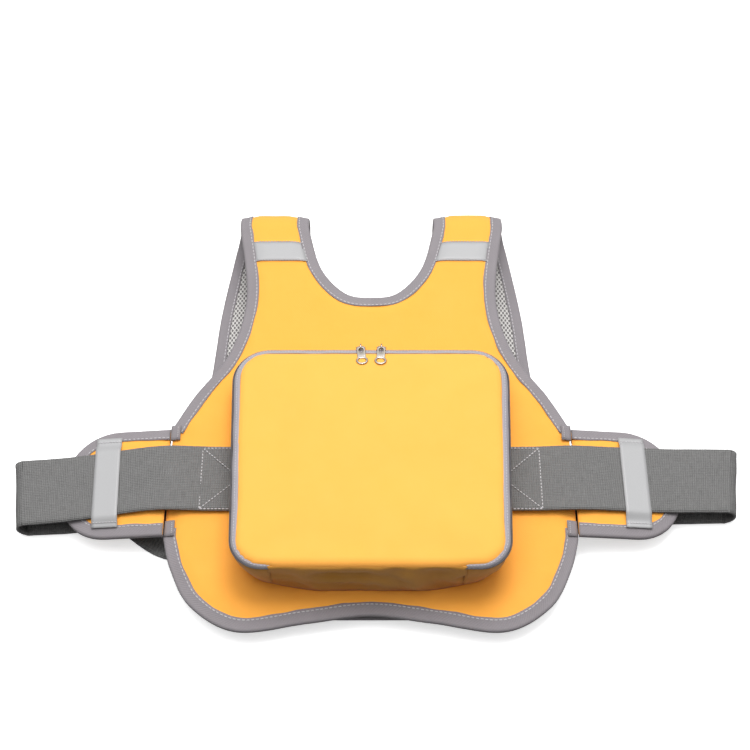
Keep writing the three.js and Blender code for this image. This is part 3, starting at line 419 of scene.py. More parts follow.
def half_outline(width, hem_y, rise, neck_y, arm_points, strap_edge):
    """Three lines of (x, s): hem and side up to the armhole, armhole to the apex, neck to the apex.
    Arm points are (x, height above the side's top)."""
    corner_y = hem_y + SIDE_RISE
    side_top = corner_y + SIDE_LENGTH
    hem = spline([(0, hem_y + rise), (0.3 * width, hem_y + 0.54 * rise), (0.63 * width, hem_y),
                  (0.85 * width, hem_y + 20 * MM), (0.955 * width, hem_y + 50 * MM),
                  (width, corner_y)], 60, before=(-0.3 * width, hem_y + 0.54 * rise))
    side = spline([(width, corner_y), (width, corner_y + SIDE_LENGTH / 2), (width - MM, side_top)], 24)
    arm = spline([(width - MM, side_top), *[(x, side_top + height) for x, height in arm_points],
                  (strap_edge, FOLD_Y)], 56)
    neck = spline([(0, neck_y), (0.42 * NECK_HALF, neck_y + 5 * MM),
                   (0.8 * NECK_HALF, neck_y + 0.42 * (FOLD_Y - neck_y)), (NECK_HALF, FOLD_Y)], 36,
                  before=(-0.42 * NECK_HALF, neck_y + 5 * MM))
    turn = np.linspace(0, 1, 13)[1:]
    rows = FOLD_Y + (APEX - FOLD_Y) * turn
    arm_fold = np.column_stack([strap_edge + turn * (SHOULDER - strap_edge), rows])
    neck_fold = np.column_stack([np.full(len(turn), NECK_HALF), rows])
    return {"hem": np.vstack([hem, side[1:]]), "arm": np.vstack([arm, arm_fold]),
            "neck": np.vstack([neck, neck_fold])}


FRONT = half_outline(
    CHEST, HEM_Y + 0.4 * MM, HEM_RISE, FRONT_NECK,
    [(CHEST - 18 * MM, 30 * MM), (119 * MM, 72 * MM), (107 * MM, 127 * MM)], SHOULDER)
BACK = half_outline(
    BACK_WIDTH, BACK_BOX[0].y, 0, BACK_NECK,
    [(138 * MM, 45 * MM), (132 * MM, 115 * MM)], BACK_STRAP)


def whole_edges(outline):
    """The hem line and neck line of both halves, each running from left to right."""
    flip = np.array([-1, 1])
    return {"hem": np.vstack([outline["hem"][::-1] * flip, outline["hem"][1:]]),
            "arm_right": outline["arm"], "arm_left": outline["arm"] * flip,
            "neck": np.vstack([outline["neck"][::-1] * flip, outline["neck"][1:]])}


def closed_outline(outline):
    e = whole_edges(outline)
    return np.vstack([e["hem"], e["arm_right"][1:], e["neck"][::-1], e["arm_left"][::-1][:-1]])


print("front outline points", len(closed_outline(FRONT)))

# %% [markdown]
# ## Cutting a cloth pattern
# A pattern piece starts as one flat face with the outline's shape. Cutting it along a regular set
# of planes turns it into neat squares that follow the cloth, which bends well and keeps the exact
# edge. Each corner then remembers its flat place in a map called flat.

# %% Cut a flat piece
def cut_flat(outline, step=4 * MM):
    bm = bmesh.new()
    bm.faces.new([bm.verts.new((x, s, 0)) for x, s in outline])
    for axis in (0, 1):
        normal = Vector((1, 0, 0)) if axis == 0 else Vector((0, 1, 0))
        low, high = outline[:, axis].min(), outline[:, axis].max()
        for value in np.arange(low + step, high - step / 4, step):
            bmesh.ops.bisect_plane(bm, geom=bm.verts[:] + bm.edges[:] + bm.faces[:], dist=1e-7,
                                   plane_co=normal * value, plane_no=normal)
    bmesh.ops.remove_doubles(bm, verts=bm.verts, dist=1e-6)
    return bm


def map_flat(bm):
    layer = bm.loops.layers.uv.new("flat")
    for face in bm.faces:
        for loop in face.loops:
            loop[layer].uv = loop.vert.co.xy


def two_layers(bm):
    """Doubles a flat piece and joins the rims. Returns the corners of the lower and upper layer."""
    lower = list(bm.verts)
    made = bmesh.ops.extrude_face_region(bm, geom=bm.faces[:], use_keep_orig=True)["geom"]
    return lower, [part for part in made if isinstance(part, bmesh.types.BMVert)]


def edge_distances(points, lines):
    """How far each point lies from the nearest of the lines."""
    best = np.full(len(points), 1.0)
    for line in lines:
        a, b = line[:-1], line[1:]
        span = b - a
        size = np.maximum((span ** 2).sum(1), 1e-12)
        for start in range(0, len(points), 4000):
            p = points[start:start + 4000, None, :]
            share = np.clip(((p - a) * span).sum(2) / size, 0, 1)
            gap = np.linalg.norm(p - (a + share[:, :, None] * span), axis=2).min(1)
            best[start:start + 4000] = np.minimum(best[start:start + 4000], gap)
    return best


# %% [markdown]
# ## Padded panels
# A buoyant panel is foam between two cloths, pinched thin at its bound edge. Its half thickness
# therefore grows from the edge inward, and the cloth ripples a little where the stitches draw it.

# %% The panel's thickness
EDGE_HALF = 1.6 * MM
ROLL = 17 * MM
CLOTH = 0.8 * MM
INSIDE_FRAME = 0.3 * MM
ABOVE_TABLE = 0.2 * MM


def half_thickness(distance):
    full = PANEL / 2 - INSIDE_FRAME
    return EDGE_HALF + (full - EDGE_HALF) * smoothstep(0, ROLL, distance)


def ripple(x, s, distance):
    """Small gathers beside the binding's stitches, and a slow unevenness over the whole panel."""
    near = math.exp(-((distance - TAPE) / (9 * MM)) ** 2)
    gathers = noise.noise(Vector((x * 95, s * 95, 0.3))) * near * 0.9 * MM
    slow = noise.noise(Vector((x * 14, s * 14, 2.7))) * 1.1 * MM
    return gathers + slow * float(smoothstep(4 * MM, 30 * MM, distance))


def lay_cloth(name, outline, lay, outward, inset, body_material, thickness=CLOTH, step=4 * MM):
    """One cloth of a panel, laid on its outer or inner side and given a real thickness. The area
    returned is that of the cloth as it lies, after laying."""
    flat = closed_outline(outline)
    bm = cut_flat(flat, step)
    map_flat(bm)
    bm.verts.ensure_lookup_table()
    points = np.array([v.co.xy for v in bm.verts])
    e = whole_edges(outline)
    distances = edge_distances(points, [e["hem"], e["neck"], e["arm_left"], e["arm_right"]])
    for vert, gap in zip(bm.verts, distances):
        x, s = vert.co.xy
        lift = float(half_thickness(gap)) + (ripple(x, s, gap) if outward else 0) - inset
        vert.co = lay(x, s, PANEL / 2 + (lift if outward else -lift))
        vert.co.z = max(vert.co.z, ABOVE_TABLE)
    area = sum(face.calc_area() for face in bm.faces)
    wanted = (1 if lay is on_front else -1) * (1 if outward else -1)
    bmesh.ops.recalc_face_normals(bm, faces=bm.faces)
    bm.normal_update()
    if sum(face.normal.z * face.calc_area() for face in bm.faces) * wanted < 0:
        bmesh.ops.reverse_faces(bm, faces=bm.faces)
    piece = new_object(name, bm, body_material)
    solid = piece.modifiers.new("cloth_thickness", "SOLIDIFY")
    solid.thickness = thickness
    solid.offset = -1
    print(name, "laid area", round(area, 4), "square metres,", len(piece.data.polygons), "faces")
    return piece, area


# %% [markdown]
# The lining is a spacer mesh: a springy knit with rows of small oval holes. Its holes are far too
# many to cut, so a hexagonal pattern of dark ovals on the flat map draws them and dents the
# surface. The dark of each oval is painted shade inside the hole.

# %% The spacer mesh finish
def mesh_group():
    tree, source, result = group_tree(
        "spacer_mesh", [("Map", VECTOR, None), ("Cloth", COLOUR, None), ("Painted_hole_shade", COLOUR, None)],
        [("Colour", COLOUR), ("Height", FLOAT), ("Roughness", FLOAT)])
    split = tree.nodes.new("ShaderNodeSeparateXYZ")
    tree.links.new(source.outputs["Map"], split.inputs[0])
    fields = []
    for shift in (0.0, 0.5):
        parts = []
        for axis, rows in ((0, 290.0), (1, 190.0)):
            counted = maths(tree, "MULTIPLY", split.outputs[axis], rows)
            cell = maths(tree, "FRACT", maths(tree, "ADD", counted, 100.0 + shift))
            centred = maths(tree, "SUBTRACT", cell, 0.5)
            parts.append(maths(tree, "MULTIPLY", centred, centred))
        fields.append(maths(tree, "SQRT", maths(tree, "ADD", *parts)))
    nearest = maths(tree, "MINIMUM", *fields)
    edge = maths(tree, "MULTIPLY", maths(tree, "SUBTRACT", 0.27, nearest), 14.0, clamp=True)
    knit = noise_value(tree, source.outputs["Map"], 1400.0, 2.0)
    shade = maths(tree, "ADD", edge, maths(tree, "MULTIPLY", knit, 0.25), clamp=True)
    tree.links.new(mix_colour(tree, shade, source.outputs["Cloth"], source.outputs["Painted_hole_shade"]),
                   result.inputs["Colour"])
    tree.links.new(maths(tree, "SUBTRACT", maths(tree, "MULTIPLY", knit, 0.3), edge), result.inputs["Height"])
    tree.links.new(maths(tree, "ADD", maths(tree, "MULTIPLY", knit, 0.1), 0.8), result.inputs["Roughness"])
    return tree


def lining_material():
    material, tree, shader = shader_material("spacer_mesh_lining", sheen=0.1)
    flat_map = tree.nodes.new("ShaderNodeUVMap")
    flat_map.uv_map = "flat"
    node = tree.nodes.new("ShaderNodeGroup")
    node.node_tree = mesh_group()
    node.inputs["Cloth"].default_value = (0.64, 0.62, 0.60, 1)
    # The hole colour is painted shade inside the holes.
    node.inputs["Painted_hole_shade"].default_value = (0.17, 0.16, 0.16, 1)
    bump = tree.nodes.new("ShaderNodeBump")
    bump.inputs["Distance"].default_value = 1.2 * MM
    tree.links.new(flat_map.outputs[0], node.inputs["Map"])
    for output, socket in (("Colour", shader.inputs["Base Color"]), ("Roughness", shader.inputs["Roughness"]),
                           ("Height", bump.inputs["Height"])):
        tree.links.new(node.outputs[output], socket)
    tree.links.new(bump.outputs[0], shader.inputs["Normal"])
    return material


MESH_CLOTH = lining_material()

# %% [markdown]
# ## Covers and linings
# Front and back each have a canvas cover outside and a mesh lining inside. All four are stretched
# over foam.

# %% The four cloths of the panels
for side, outline, lay in (("front", FRONT, on_front), ("back", BACK, on_back)):
    cover, cover_area = lay_cloth(f"{side}_cover", outline, lay, True, 0, YELLOW_CLOTH)
    place(cover, "root", "yellow_fabric", f"{side}_outer_fabric")
    width, length = 2 * outline["hem"][:, 0].max(), APEX - outline["hem"][:, 1].min()
    lining, lining_area = lay_cloth(f"{side}_lining", outline, lay, False, 0, MESH_CLOTH)
    place(lining, "root", "mesh_lining", f"{side}_mesh_lining")


# %% [markdown]
# ## Foam
# The foam fills what is left between the two cloths, a little short of them everywhere.

# %% The foam inside the panels
def foam_material():
    material, tree, shader = shader_material("foam_sheet", roughness=0.9)
    place_map = tree.nodes.new("ShaderNodeTexCoord")
    cells = noise_value(tree, place_map.outputs["Object"], 900.0, 3.0)
    bump = tree.nodes.new("ShaderNodeBump")
    bump.inputs["Distance"].default_value = 0.3 * MM
    tree.links.new(mix_colour(tree, cells, (0.80, 0.79, 0.74, 1), (0.62, 0.61, 0.57, 1)),
                   shader.inputs["Base Color"])
    tree.links.new(cells, bump.inputs["Height"])
    tree.links.new(bump.outputs[0], shader.inputs["Normal"])
    return material


FOAM = foam_material()


def lay_foam(name, outline, lay, step=8 * MM):
    """A foam sheet that fills the space between a panel's two cloths, with its edges thinned."""
    bm = cut_flat(closed_outline(outline), step)
    map_flat(bm)
    e = whole_edges(outline)
    lower, upper = two_layers(bm)
    for vert in upper:
        vert.co.z = 1.0
    everyone = lower + upper
    flat_points = np.array([v.co.xy for v in everyone])
    distances = edge_distances(flat_points, [e["hem"], e["neck"], e["arm_left"], e["arm_right"]])
    for vert, gap in zip(everyone, distances):
        thick = max(float(half_thickness(gap)) - 2.2 * CLOTH, 0.3 * MM)
        side = 1 if vert.co.z > 0.5 else -1
        vert.co = lay(vert.co.x, min(vert.co.y, APEX - 0.3 * MM), PANEL / 2 + side * thick)
    bmesh.ops.recalc_face_normals(bm, faces=bm.faces)
    return new_object(name, bm, FOAM)


for side, outline, lay in (("front", FRONT, on_front), ("back", BACK, on_back)):
    foam = lay_foam(f"{side}_padding", outline, lay)
    place(foam, "root", "foam", f"{side}_foam")


# %% [markdown]
# ## Tapes, threads and repeated shapes
# Most trim on a jacket is one cross-section drawn along a line. The sweep tool extrudes a row of
# points from each station to the next. Stitches and zip teeth are one small shape set down many
# times, so a second tool copies a shape to a list of places.

# %% Sweep and scatter
def sweep(name, rows, material, smooth=True):
    """Draws each row of points into the next. A row or a path that ends where it began closes, and
    any opening left at an end is capped."""
    bm = bmesh.new()
    index = bm.verts.layers.int.new("index")
    along = bm.verts.layers.float.new("along")
    across = bm.verts.layers.float.new("across")
    row = [bm.verts.new(point) for point in rows[0]]
    width = 0.0
    for i, vert in enumerate(row):
        width += (rows[0][i] - rows[0][i - 1]).length if i else 0.0
        vert[index], vert[across] = i, width
    edges = [bm.edges.new(pair) for pair in zip(row, row[1:])]
    middle = len(rows[0]) // 4
    travel = 0.0
    for before, now in zip(rows, rows[1:]):
        travel += (now[middle] - before[middle]).length
        made = bmesh.ops.extrude_edge_only(bm, edges=edges)["geom"]
        fresh = {part for part in made if isinstance(part, bmesh.types.BMVert)}
        for vert in fresh:
            vert.co = now[vert[index]]
            vert[along] = travel
        edges = [part for part in made if isinstance(part, bmesh.types.BMEdge)
                 and part.verts[0] in fresh and part.verts[1] in fresh]
    flat = bm.loops.layers.uv.new("flat")
    for face in bm.faces:
        for loop in face.loops:
            loop[flat].uv = (loop.vert[along], loop.vert[across])
    bmesh.ops.remove_doubles(bm, verts=bm.verts, dist=1e-6)
    bmesh.ops.contextual_create(bm, geom=[edge for edge in bm.edges if edge.is_boundary])
    bmesh.ops.recalc_face_normals(bm, faces=bm.faces)
    return new_object(name, bm, material, smooth)


def scatter(name, shape, places, material):
    """Copies one small shape to every place and joins the copies into a single mesh."""
    points = np.array([v.co for v in shape.verts])
    shape.verts.index_update()
    faces = [[v.index for v in face.verts] for face in shape.faces]
    shape.free()
    everything, every_face = [], []
    for k, matrix in enumerate(places):
        m = np.array(matrix)
        everything.append(points @ m[:3, :3].T + m[:3, 3])
        every_face.extend([[i + k * len(points) for i in face] for face in faces])
    mesh = bpy.data.meshes.new(name)
    mesh.from_pydata(np.vstack(everything).tolist(), [], every_face)
    mesh.materials.append(material)
    for polygon in mesh.polygons:
        polygon.use_smooth = True
    piece = bpy.data.objects.new(name, mesh)
    scene.collection.objects.link(piece)
    return piece


def frame_at(origin, forward, up):
    """A matrix whose x runs forward and whose z is as near up as it can be."""
    x = forward.normalized()
    y = up.cross(x).normalized()
    return Matrix.Translation(origin) @ Matrix((x, y, x.cross(y))).transposed().to_4x4()


def walk(points, pitch):
    """Evenly spaced places along a line of points, each with the direction of travel."""
    p = np.array([tuple(point) for point in points])
    length = np.concatenate([[0], np.cumsum(np.linalg.norm(np.diff(p, axis=0), axis=1))])
    for distance in np.arange(pitch / 2, length[-1], pitch):
        i = min(int(np.searchsorted(length, distance)) - 1, len(p) - 2)
        share = (distance - length[i]) / max(length[i + 1] - length[i], 1e-9)
        yield Vector(p[i] + share * (p[i + 1] - p[i])), Vector(p[i + 1] - p[i])


THREAD, thread_tree, thread_shader = shader_material("sewing_thread", roughness=0.6, sheen=0.2)
thread_place = thread_tree.nodes.new("ShaderNodeTexCoord")
thread_tree.links.new(
    mix_colour(thread_tree, noise_value(thread_tree, thread_place.outputs["Object"], 400.0),
               (0.42, 0.40, 0.42, 1), (0.62, 0.61, 0.62, 1)), thread_shader.inputs["Base Color"])


def stitches(name, body, slot, lines, pitch=3.6 * MM, thick=0.42 * MM, material=THREAD):
    """Rows of lockstitch: short rods that dip into the cloth at both ends."""
    shape = bmesh.new()
    bmesh.ops.create_uvsphere(shape, u_segments=6, v_segments=4, radius=1)
    bmesh.ops.rotate(shape, verts=shape.verts, matrix=Matrix.Rotation(math.pi / 2, 3, "Y"))
    bmesh.ops.scale(shape, verts=shape.verts, vec=(pitch * 0.40, thick, thick * 0.8))
    places = [frame_at(spot, forward, up) for points, up in lines for spot, forward in walk(points, pitch)]
    return place(scatter(name, shape, places, material), body, slot)


print("sweep and stitch tools ready")

# %% [markdown]
# ## Bindings
# A twill tape is folded round each raw edge and stitched through. Its cross-section is a flat U
# that hugs the pinched panel. One run of stations goes up the front, over the shoulder and down
# the back, so the tape turns over the fold without a joint.

# %% Binding tape
def flat_normals(line, turn):
    """Directions into the cloth, at right angles to a line. Turn is 1 if the cloth is on the left."""
    run = np.gradient(line, axis=0)
    run /= np.maximum(np.linalg.norm(run, axis=1), 1e-9)[:, None]
    return np.column_stack([-run[:, 1], run[:, 0]]) * turn


def even(line, step):
    """The same line with its points spaced evenly."""
    length = np.concatenate([[0], np.cumsum(np.linalg.norm(np.diff(line, axis=0), axis=1))])
    marks = np.linspace(0, length[-1], max(int(length[-1] / step), 2) + 1)
    return np.column_stack([np.interp(marks, length, line[:, axis]) for axis in range(2)])


TAPE_PROUD = 0.75 * MM
TAPE_SEEN = 9.2 * MM


def tape_section(width=TAPE_SEEN, thick=0.8 * MM, half=half_thickness):
    """The U as (inward, up) pairs measured from the edge at the panel's middle, closed on itself."""
    arc = [math.radians(a) for a in (60, 30, 0, -30, -60)]
    ins = [width, width * 0.75, width * 0.5, width * 0.27, width * 0.1]

    def leaf(extra):
        top = [(n, float(half(n)) + extra) for n in ins]
        edge = float(half(0)) + extra
        nose = [(-math.cos(a) * (0.6 * MM + extra), math.sin(a) * edge) for a in arc]
        return top + nose + [(n, -up) for n, up in reversed(top)]

    ring = leaf(TAPE_PROUD) + list(reversed(leaf(TAPE_PROUD - thick)))
    return ring + ring[:1]


def binding_rows(parts, section):
    """Rows of points for stations given as (flat line, turn, laying function)."""
    rows = []
    for line, turn, lay in parts:
        for (x, s), (nx, ns) in zip(line, flat_normals(line, turn)):
            nx, ns = (0.0, math.copysign(1, ns)) if abs(x) < MM / 10 else (nx, ns)
            swell = 1 + 0.10 * noise.noise(Vector((x * 70, s * 70, 5.0)))
            rows.append([lay(x + nx * n * swell, s + ns * n * swell, PANEL / 2 + up * (0.98 + 0.06 * swell))
                         for n, up in section])
    return rows


def stitch_line(parts, inward, side=1):
    lines = []
    for line, turn, lay in parts:
        normals = flat_normals(line, turn)
        level = side * (float(half_thickness(inward)) + TAPE_PROUD + 0.1 * MM)
        lines.append([lay(x + nx * inward, s + ns * inward, PANEL / 2 + level)
                      for (x, s), (nx, ns) in zip(line, normals)])
    return [point for line in lines for point in line]


def over_shoulder(front_line, back_line, turn):
    """A path up the front line, over the fold and down the back line."""
    a, b = even(front_line, 4 * MM), even(back_line, 4 * MM)
    return [(a, turn, on_front), (b[::-1][1:], -turn, on_back)]


def below_wings(line):
    """The part of the hem line that lies below the wings, where the tape ends under a tab."""
    return line[line[:, 1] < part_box("wing_binding_left")[0].y + 8 * MM]


front_edges, back_edges = whole_edges(FRONT), whole_edges(BACK)
half_neck = len(FRONT["neck"]) - 1
front_neck_left, front_neck_right = front_edges["neck"][:half_neck + 1], front_edges["neck"][half_neck:]
back_neck_left, back_neck_right = back_edges["neck"][:half_neck + 1], back_edges["neck"][half_neck:]

BINDINGS = {
    "neck_tape": (["neck_binding"], [
        (even(front_neck_left[::-1], 4 * MM), 1, on_front), (even(back_neck_left, 4 * MM)[1:], -1, on_back),
        (even(back_neck_right, 4 * MM)[1:], -1, on_back),
        (even(front_neck_right[::-1], 4 * MM)[1:], 1, on_front)]),
    "armhole_tape_right": (["armhole_binding_right"],
                           over_shoulder(front_edges["arm_right"], back_edges["arm_right"], 1)),
    "armhole_tape_left": (["armhole_binding_left"],
                          over_shoulder(front_edges["arm_left"], back_edges["arm_left"], -1)),
    "hem_tape_front": (["side_hem_binding_front"],
                       [(even(below_wings(front_edges["hem"]), 4 * MM), 1, on_front)]),
    "hem_tape_back": (["side_hem_binding_back"], [(even(back_edges["hem"], 4 * MM), 1, on_back)]),
}
SECTION = tape_section()
STITCH_IN = TAPE_SEEN - 1.7 * MM
for name, (nodes, parts) in BINDINGS.items():
    tape = place(sweep(name, binding_rows(parts, SECTION), BINDING_CLOTH), "root", "binding_tape", *nodes)
    up = Vector((0, -0.3, 1))
    stitches(f"{name}_stitches", "root", "binding_tape",
             [(stitch_line(parts, STITCH_IN), up), (stitch_line(parts, STITCH_IN, -1), up)])
    print(name, len(tape.data.polygons), "faces")


# %% [markdown]
# ## The pocket's outline
# The pocket is a box with a zipped lid. Its plan is a rounded trapezoid, and its rim falls gently
# from the hinge to the far side. The zip runs from one end of the hinge crease round to the other.

# %% The pocket's plan and rim
GUSSET_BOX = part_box("pocket_side_gusset")
LID_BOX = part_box("pocket_lid")
POCKET_LOW, POCKET_HIGH = LID_BOX[0].y, LID_BOX[1].y + 2 * MM
POCKET_WIDE = GUSSET_BOX[1].x
POCKET_NARROW = 107 * MM
CREASE = (-77 * MM, 72 * MM)
RIM_HINGE, RIM_FAR = 70 * MM, 63 * MM


def rim(y):
    return RIM_HINGE + (RIM_FAR - RIM_HINGE) * (y - POCKET_LOW) / (POCKET_HIGH - POCKET_LOW)


def rounded(corners, radii, arc_steps=14):
    """A closed line round the corners, each turned on its own radius."""
    line = []
    count = len(corners)
    for i in range(count):
        here = Vector(corners[i])
        back = (Vector(corners[i - 1]) - here).normalized()
        on = (Vector(corners[(i + 1) % count]) - here).normalized()
        half = back.angle(on) / 2
        reach = radii[i] / math.tan(half)
        centre = here + (back + on).normalized() * radii[i] / math.sin(half)
        a, b = here + back * reach - centre, here + on * reach - centre
        for k in range(arc_steps + 1):
            line.append(tuple(centre + radii[i] * a.slerp(b, k / arc_steps).normalized()))
    return np.array(line)


def pocket_ring():
    corners = [(POCKET_NARROW, POCKET_LOW), (POCKET_WIDE, POCKET_HIGH),
               (-POCKET_WIDE, POCKET_HIGH), (-POCKET_NARROW, POCKET_LOW)]
    return rounded(corners, (25 * MM, 30 * MM, 30 * MM, 25 * MM))


RING = pocket_ring()
ZIP_LINE = even(np.vstack([[(CREASE[1], POCKET_LOW)], RING, [(CREASE[0], POCKET_LOW)]]), 3 * MM)
CREASE_LINE = even(np.array([(CREASE[0] - MM, POCKET_LOW), (CREASE[1] + MM, POCKET_LOW)]), 3 * MM)
print("zip line", round(float(np.linalg.norm(np.diff(ZIP_LINE, axis=0), axis=1).sum()), 3), "metres")

# %% [markdown]
# ## The pocket's walls
# The wall bows outward between its seams and creases where the cloth is short of room. The near
# wall hangs from the lid's crease, so it gathers the most.

# %% Walls
CHAIN_DROP = 2.6 * MM
WALL_TOP = 4.4 * MM
GUSSET_CLOTH = 1.1 * MM


def zip_taper(x, y):
    """The zip narrows towards the two ends of the crease, where it turns under the lid."""
    ends = min(math.dist((x, y), (edge, POCKET_LOW)) for edge in CREASE)
    return 0.42 + 0.58 * float(smoothstep(0, 65 * MM, ends))


def wall_rows(line, top_drop, bow, gather, lean):
    rows = []
    for (x, y), (nx, ny) in zip(line, flat_normals(line, 1)):
        drop = top_drop * (zip_taper(x, y) if top_drop > 0 else 1)
        low, high = front_top(y) - 0.6 * MM, rim(y) - drop
        near = float(1 - smoothstep(POCKET_LOW + 4 * MM, POCKET_LOW + 60 * MM, y))
        out_wide = float(smoothstep(40 * MM, 100 * MM, abs(x)))
        tuck = lean + 9 * MM * near * out_wide
        outer, inner = [], []
        for f in np.linspace(0, 1, 12):
            swell = noise.noise(Vector((x * 42, y * 42, f * 1.6)))
            pleat = 0.5 - 2 * abs(noise.noise(Vector((x * 30 + 4, y * 30, f * 2.2 + 7))))
            pucker = noise.noise(Vector((x * 75, 2.0, f * 3.5))) * smoothstep(0.35, 0.8, f) * 0.8
            crease = (swell + pleat + float(pucker)) * gather * math.sin(math.pi * f)
            fine = noise.noise(Vector((x * 160, y * 160, f * 7))) * 0.25 * gather
            out = (bow * math.sin(math.pi * f) - tuck * (1 - f) + crease
                   + fine * float(smoothstep(0, 0.2, f) * (1 - f)))
            z = low + f * (high - low)
            outer.append(Vector((x - nx * out, y - ny * out, z)))
            inner.append(Vector((x - nx * (out - GUSSET_CLOTH), y - ny * (out - GUSSET_CLOTH), z)))
        rows.append(outer + inner[::-1] + outer[:1])
    return rows


# Both walls take the darker wall nylon, whose darkness is painted shade under the lid.
side_rows = wall_rows(ZIP_LINE, WALL_TOP, bow=1.6 * MM, gather=1.5 * MM, lean=2 * MM)
side_wall = sweep("pocket_side_wall", side_rows, WALL_NYLON_PAINTED_SHADE)
place(side_wall, "root", "yellow_fabric", "pocket_side_gusset")
near_rows = wall_rows(CREASE_LINE, -0.7 * MM, bow=0.5 * MM, gather=4.2 * MM, lean=2 * MM)
near_wall = sweep("pocket_near_wall", near_rows, WALL_NYLON_PAINTED_SHADE)
place(near_wall, "root", "yellow_fabric", "pocket_bottom_gusset")
print("walls", len(side_wall.data.polygons), "and", len(near_wall.data.polygons), "faces")

# %% [markdown]
# ## The lid
# The lid is a padded panel. It is cut to the outline less the width of the zip tape, rolled at its
# rim, and slightly uneven where the lining holds it. At the hinge it runs straight into the near
# wall, so there it keeps its full size.

# %% The lid
ZIP_INSET = 4.0 * MM
LID_PAD = 3.6 * MM


def lid_inset(x, y):
    """The zip tape's width, fading to nothing along the hinge crease."""
    full = ZIP_INSET * zip_taper(x, y)
    if y > POCKET_LOW + 30 * MM:
        return full
    inside = float(smoothstep(CREASE[0] - 4 * MM, CREASE[0] + 6 * MM, x)
                   * (1 - smoothstep(CREASE[1] - 6 * MM, CREASE[1] + 4 * MM, x)))
    return full * (1 - inside) + 0.2 * MM * inside


LID_RING = np.vstack([ZIP_LINE[:-1], even(np.array([ZIP_LINE[-1], ZIP_LINE[0]]), 3 * MM)[:-1]])
closed_ring = np.vstack([LID_RING[-1:], LID_RING, LID_RING[:1]])
LID_NORMALS = flat_normals(closed_ring, 1)[1:-1]
LID_EDGE = np.array([(x + nx * lid_inset(x, y), y + ny * lid_inset(x, y))
                     for (x, y), (nx, ny) in zip(LID_RING, LID_NORMALS)])


def lid_top(x, y, gap):
    roll = LID_PAD * math.sqrt(max(1 - (1 - min(gap / (7 * MM), 1)) ** 2, 0))
    crown = 3.2 * MM * float(smoothstep(0, 75 * MM, gap))
    dents = noise.noise(Vector((x * 16, y * 16, 9.0))) * 2.6 * MM * float(smoothstep(5 * MM, 35 * MM, gap))
    folds = (noise.noise(Vector((x * 34 + 3, y * 13, 4.0))) * 1.3 * MM
             * float(smoothstep(3 * MM, 20 * MM, gap)))
    gathers = noise.noise(Vector((x * 120, y * 120, 1.0))) * 0.35 * MM * math.exp(-(gap / (9 * MM)) ** 2)
    return roll + crown + dents + folds + gathers


def make_lid():
    bm = cut_flat(LID_EDGE, 3.5 * MM)
    map_flat(bm)
    lower, upper = two_layers(bm)
    edge = np.vstack([LID_EDGE, LID_EDGE[:1]])
    gaps = edge_distances(np.array([v.co.xy for v in upper]), [edge])
    for vert, gap in zip(upper, gaps):
        vert.co.z = rim(vert.co.y) + 0.8 * MM + lid_top(vert.co.x, vert.co.y, gap)
    gaps = edge_distances(np.array([v.co.xy for v in lower]), [edge])
    for vert, gap in zip(lower, gaps):
        vert.co.z = rim(vert.co.y) + 0.2 * MM + 0.5 * MM * float(smoothstep(0, 9 * MM, gap))
    bmesh.ops.recalc_face_normals(bm, faces=bm.faces)
    return new_object("lid_panel", bm, LID_CLOTH)


lid = place(make_lid(), "pocket_lid", "lid_fabric", "pocket_lid")
print("lid", len(lid.data.polygons), "faces")

# %% [markdown]
# ## The zip
# Two tapes meet at a coil of teeth. The lid's tape slopes from the padding's edge down to the
# chain, and the wall's tape stands below it. Each half keeps its own teeth, so the lid can open.

# %% Zip tapes
def zip_rows(line, section, thick=0.7 * MM):
    rows = []
    for (x, y), (nx, ny) in zip(line, flat_normals(line, 1)):
        wave = noise.noise(Vector((x * 55, y * 55, 6.0))) * 0.35 * MM
        share = zip_taper(x, y)
        outer = [Vector((x + nx * (n + wave) * share, y + ny * (n + wave) * share, rim(y) + z * share))
                 for n, z in section]
        inner = [point + Vector((nx * thick * 0.7, ny * thick * 0.7, -thick * 0.7)) for point in outer]
        rows.append(outer + inner[::-1] + outer[:1])
    return rows


LID_SECTION = [(a * MM, b * MM) for a, b in ((5.6, 3.2), (4.4, 2.8), (3.0, 2.0), (1.6, 0.8), (0.7, -0.9),
                                             (0.5, -1.9))]
WALL_SECTION = [(a * MM, b * MM) for a, b in ((0.2, -3.2), (-0.3, -3.8), (-0.4, -4.6), (-0.2, -5.6))]
lid_tape = sweep("zip_tape_on_lid", zip_rows(ZIP_LINE, LID_SECTION), ZIP_CLOTH)
place(lid_tape, "pocket_lid", "zip_tape", "zip_tape_lid_side")
wall_tape = sweep("zip_tape_on_wall", zip_rows(ZIP_LINE, WALL_SECTION), ZIP_CLOTH)
place(wall_tape, "root", "zip_tape", "zip_tape_wall_side")

COIL, coil_tree, coil_shader = shader_material("zip_coil", roughness=0.4)
coil_place = coil_tree.nodes.new("ShaderNodeTexCoord")
coil_tree.links.new(
    mix_colour(coil_tree, noise_value(coil_tree, coil_place.outputs["Object"], 300.0),
               (0.20, 0.195, 0.21, 1), (0.13, 0.125, 0.135, 1)), coil_shader.inputs["Base Color"])


def coil(name, body, drop, lean):
    """Teeth as small ovals across the chain, one for each turn of the coil."""
    shape = bmesh.new()
    bmesh.ops.create_uvsphere(shape, u_segments=6, v_segments=4, radius=1)
    bmesh.ops.scale(shape, verts=shape.verts, vec=(0.42 * MM, 0.95 * MM, 0.75 * MM))
    points = [Vector((x - nx * 0.2 * MM, y - ny * 0.2 * MM, rim(y) - (CHAIN_DROP - drop) * zip_taper(x, y)))
              for (x, y), (nx, ny) in zip(ZIP_LINE, flat_normals(ZIP_LINE, 1))]
    places = [frame_at(spot, forward, UP + lean * forward.normalized().cross(UP))
              for spot, forward in walk(points, 1.15 * MM)]
    return place(scatter(name, shape, places, COIL), body, "zip_tape")


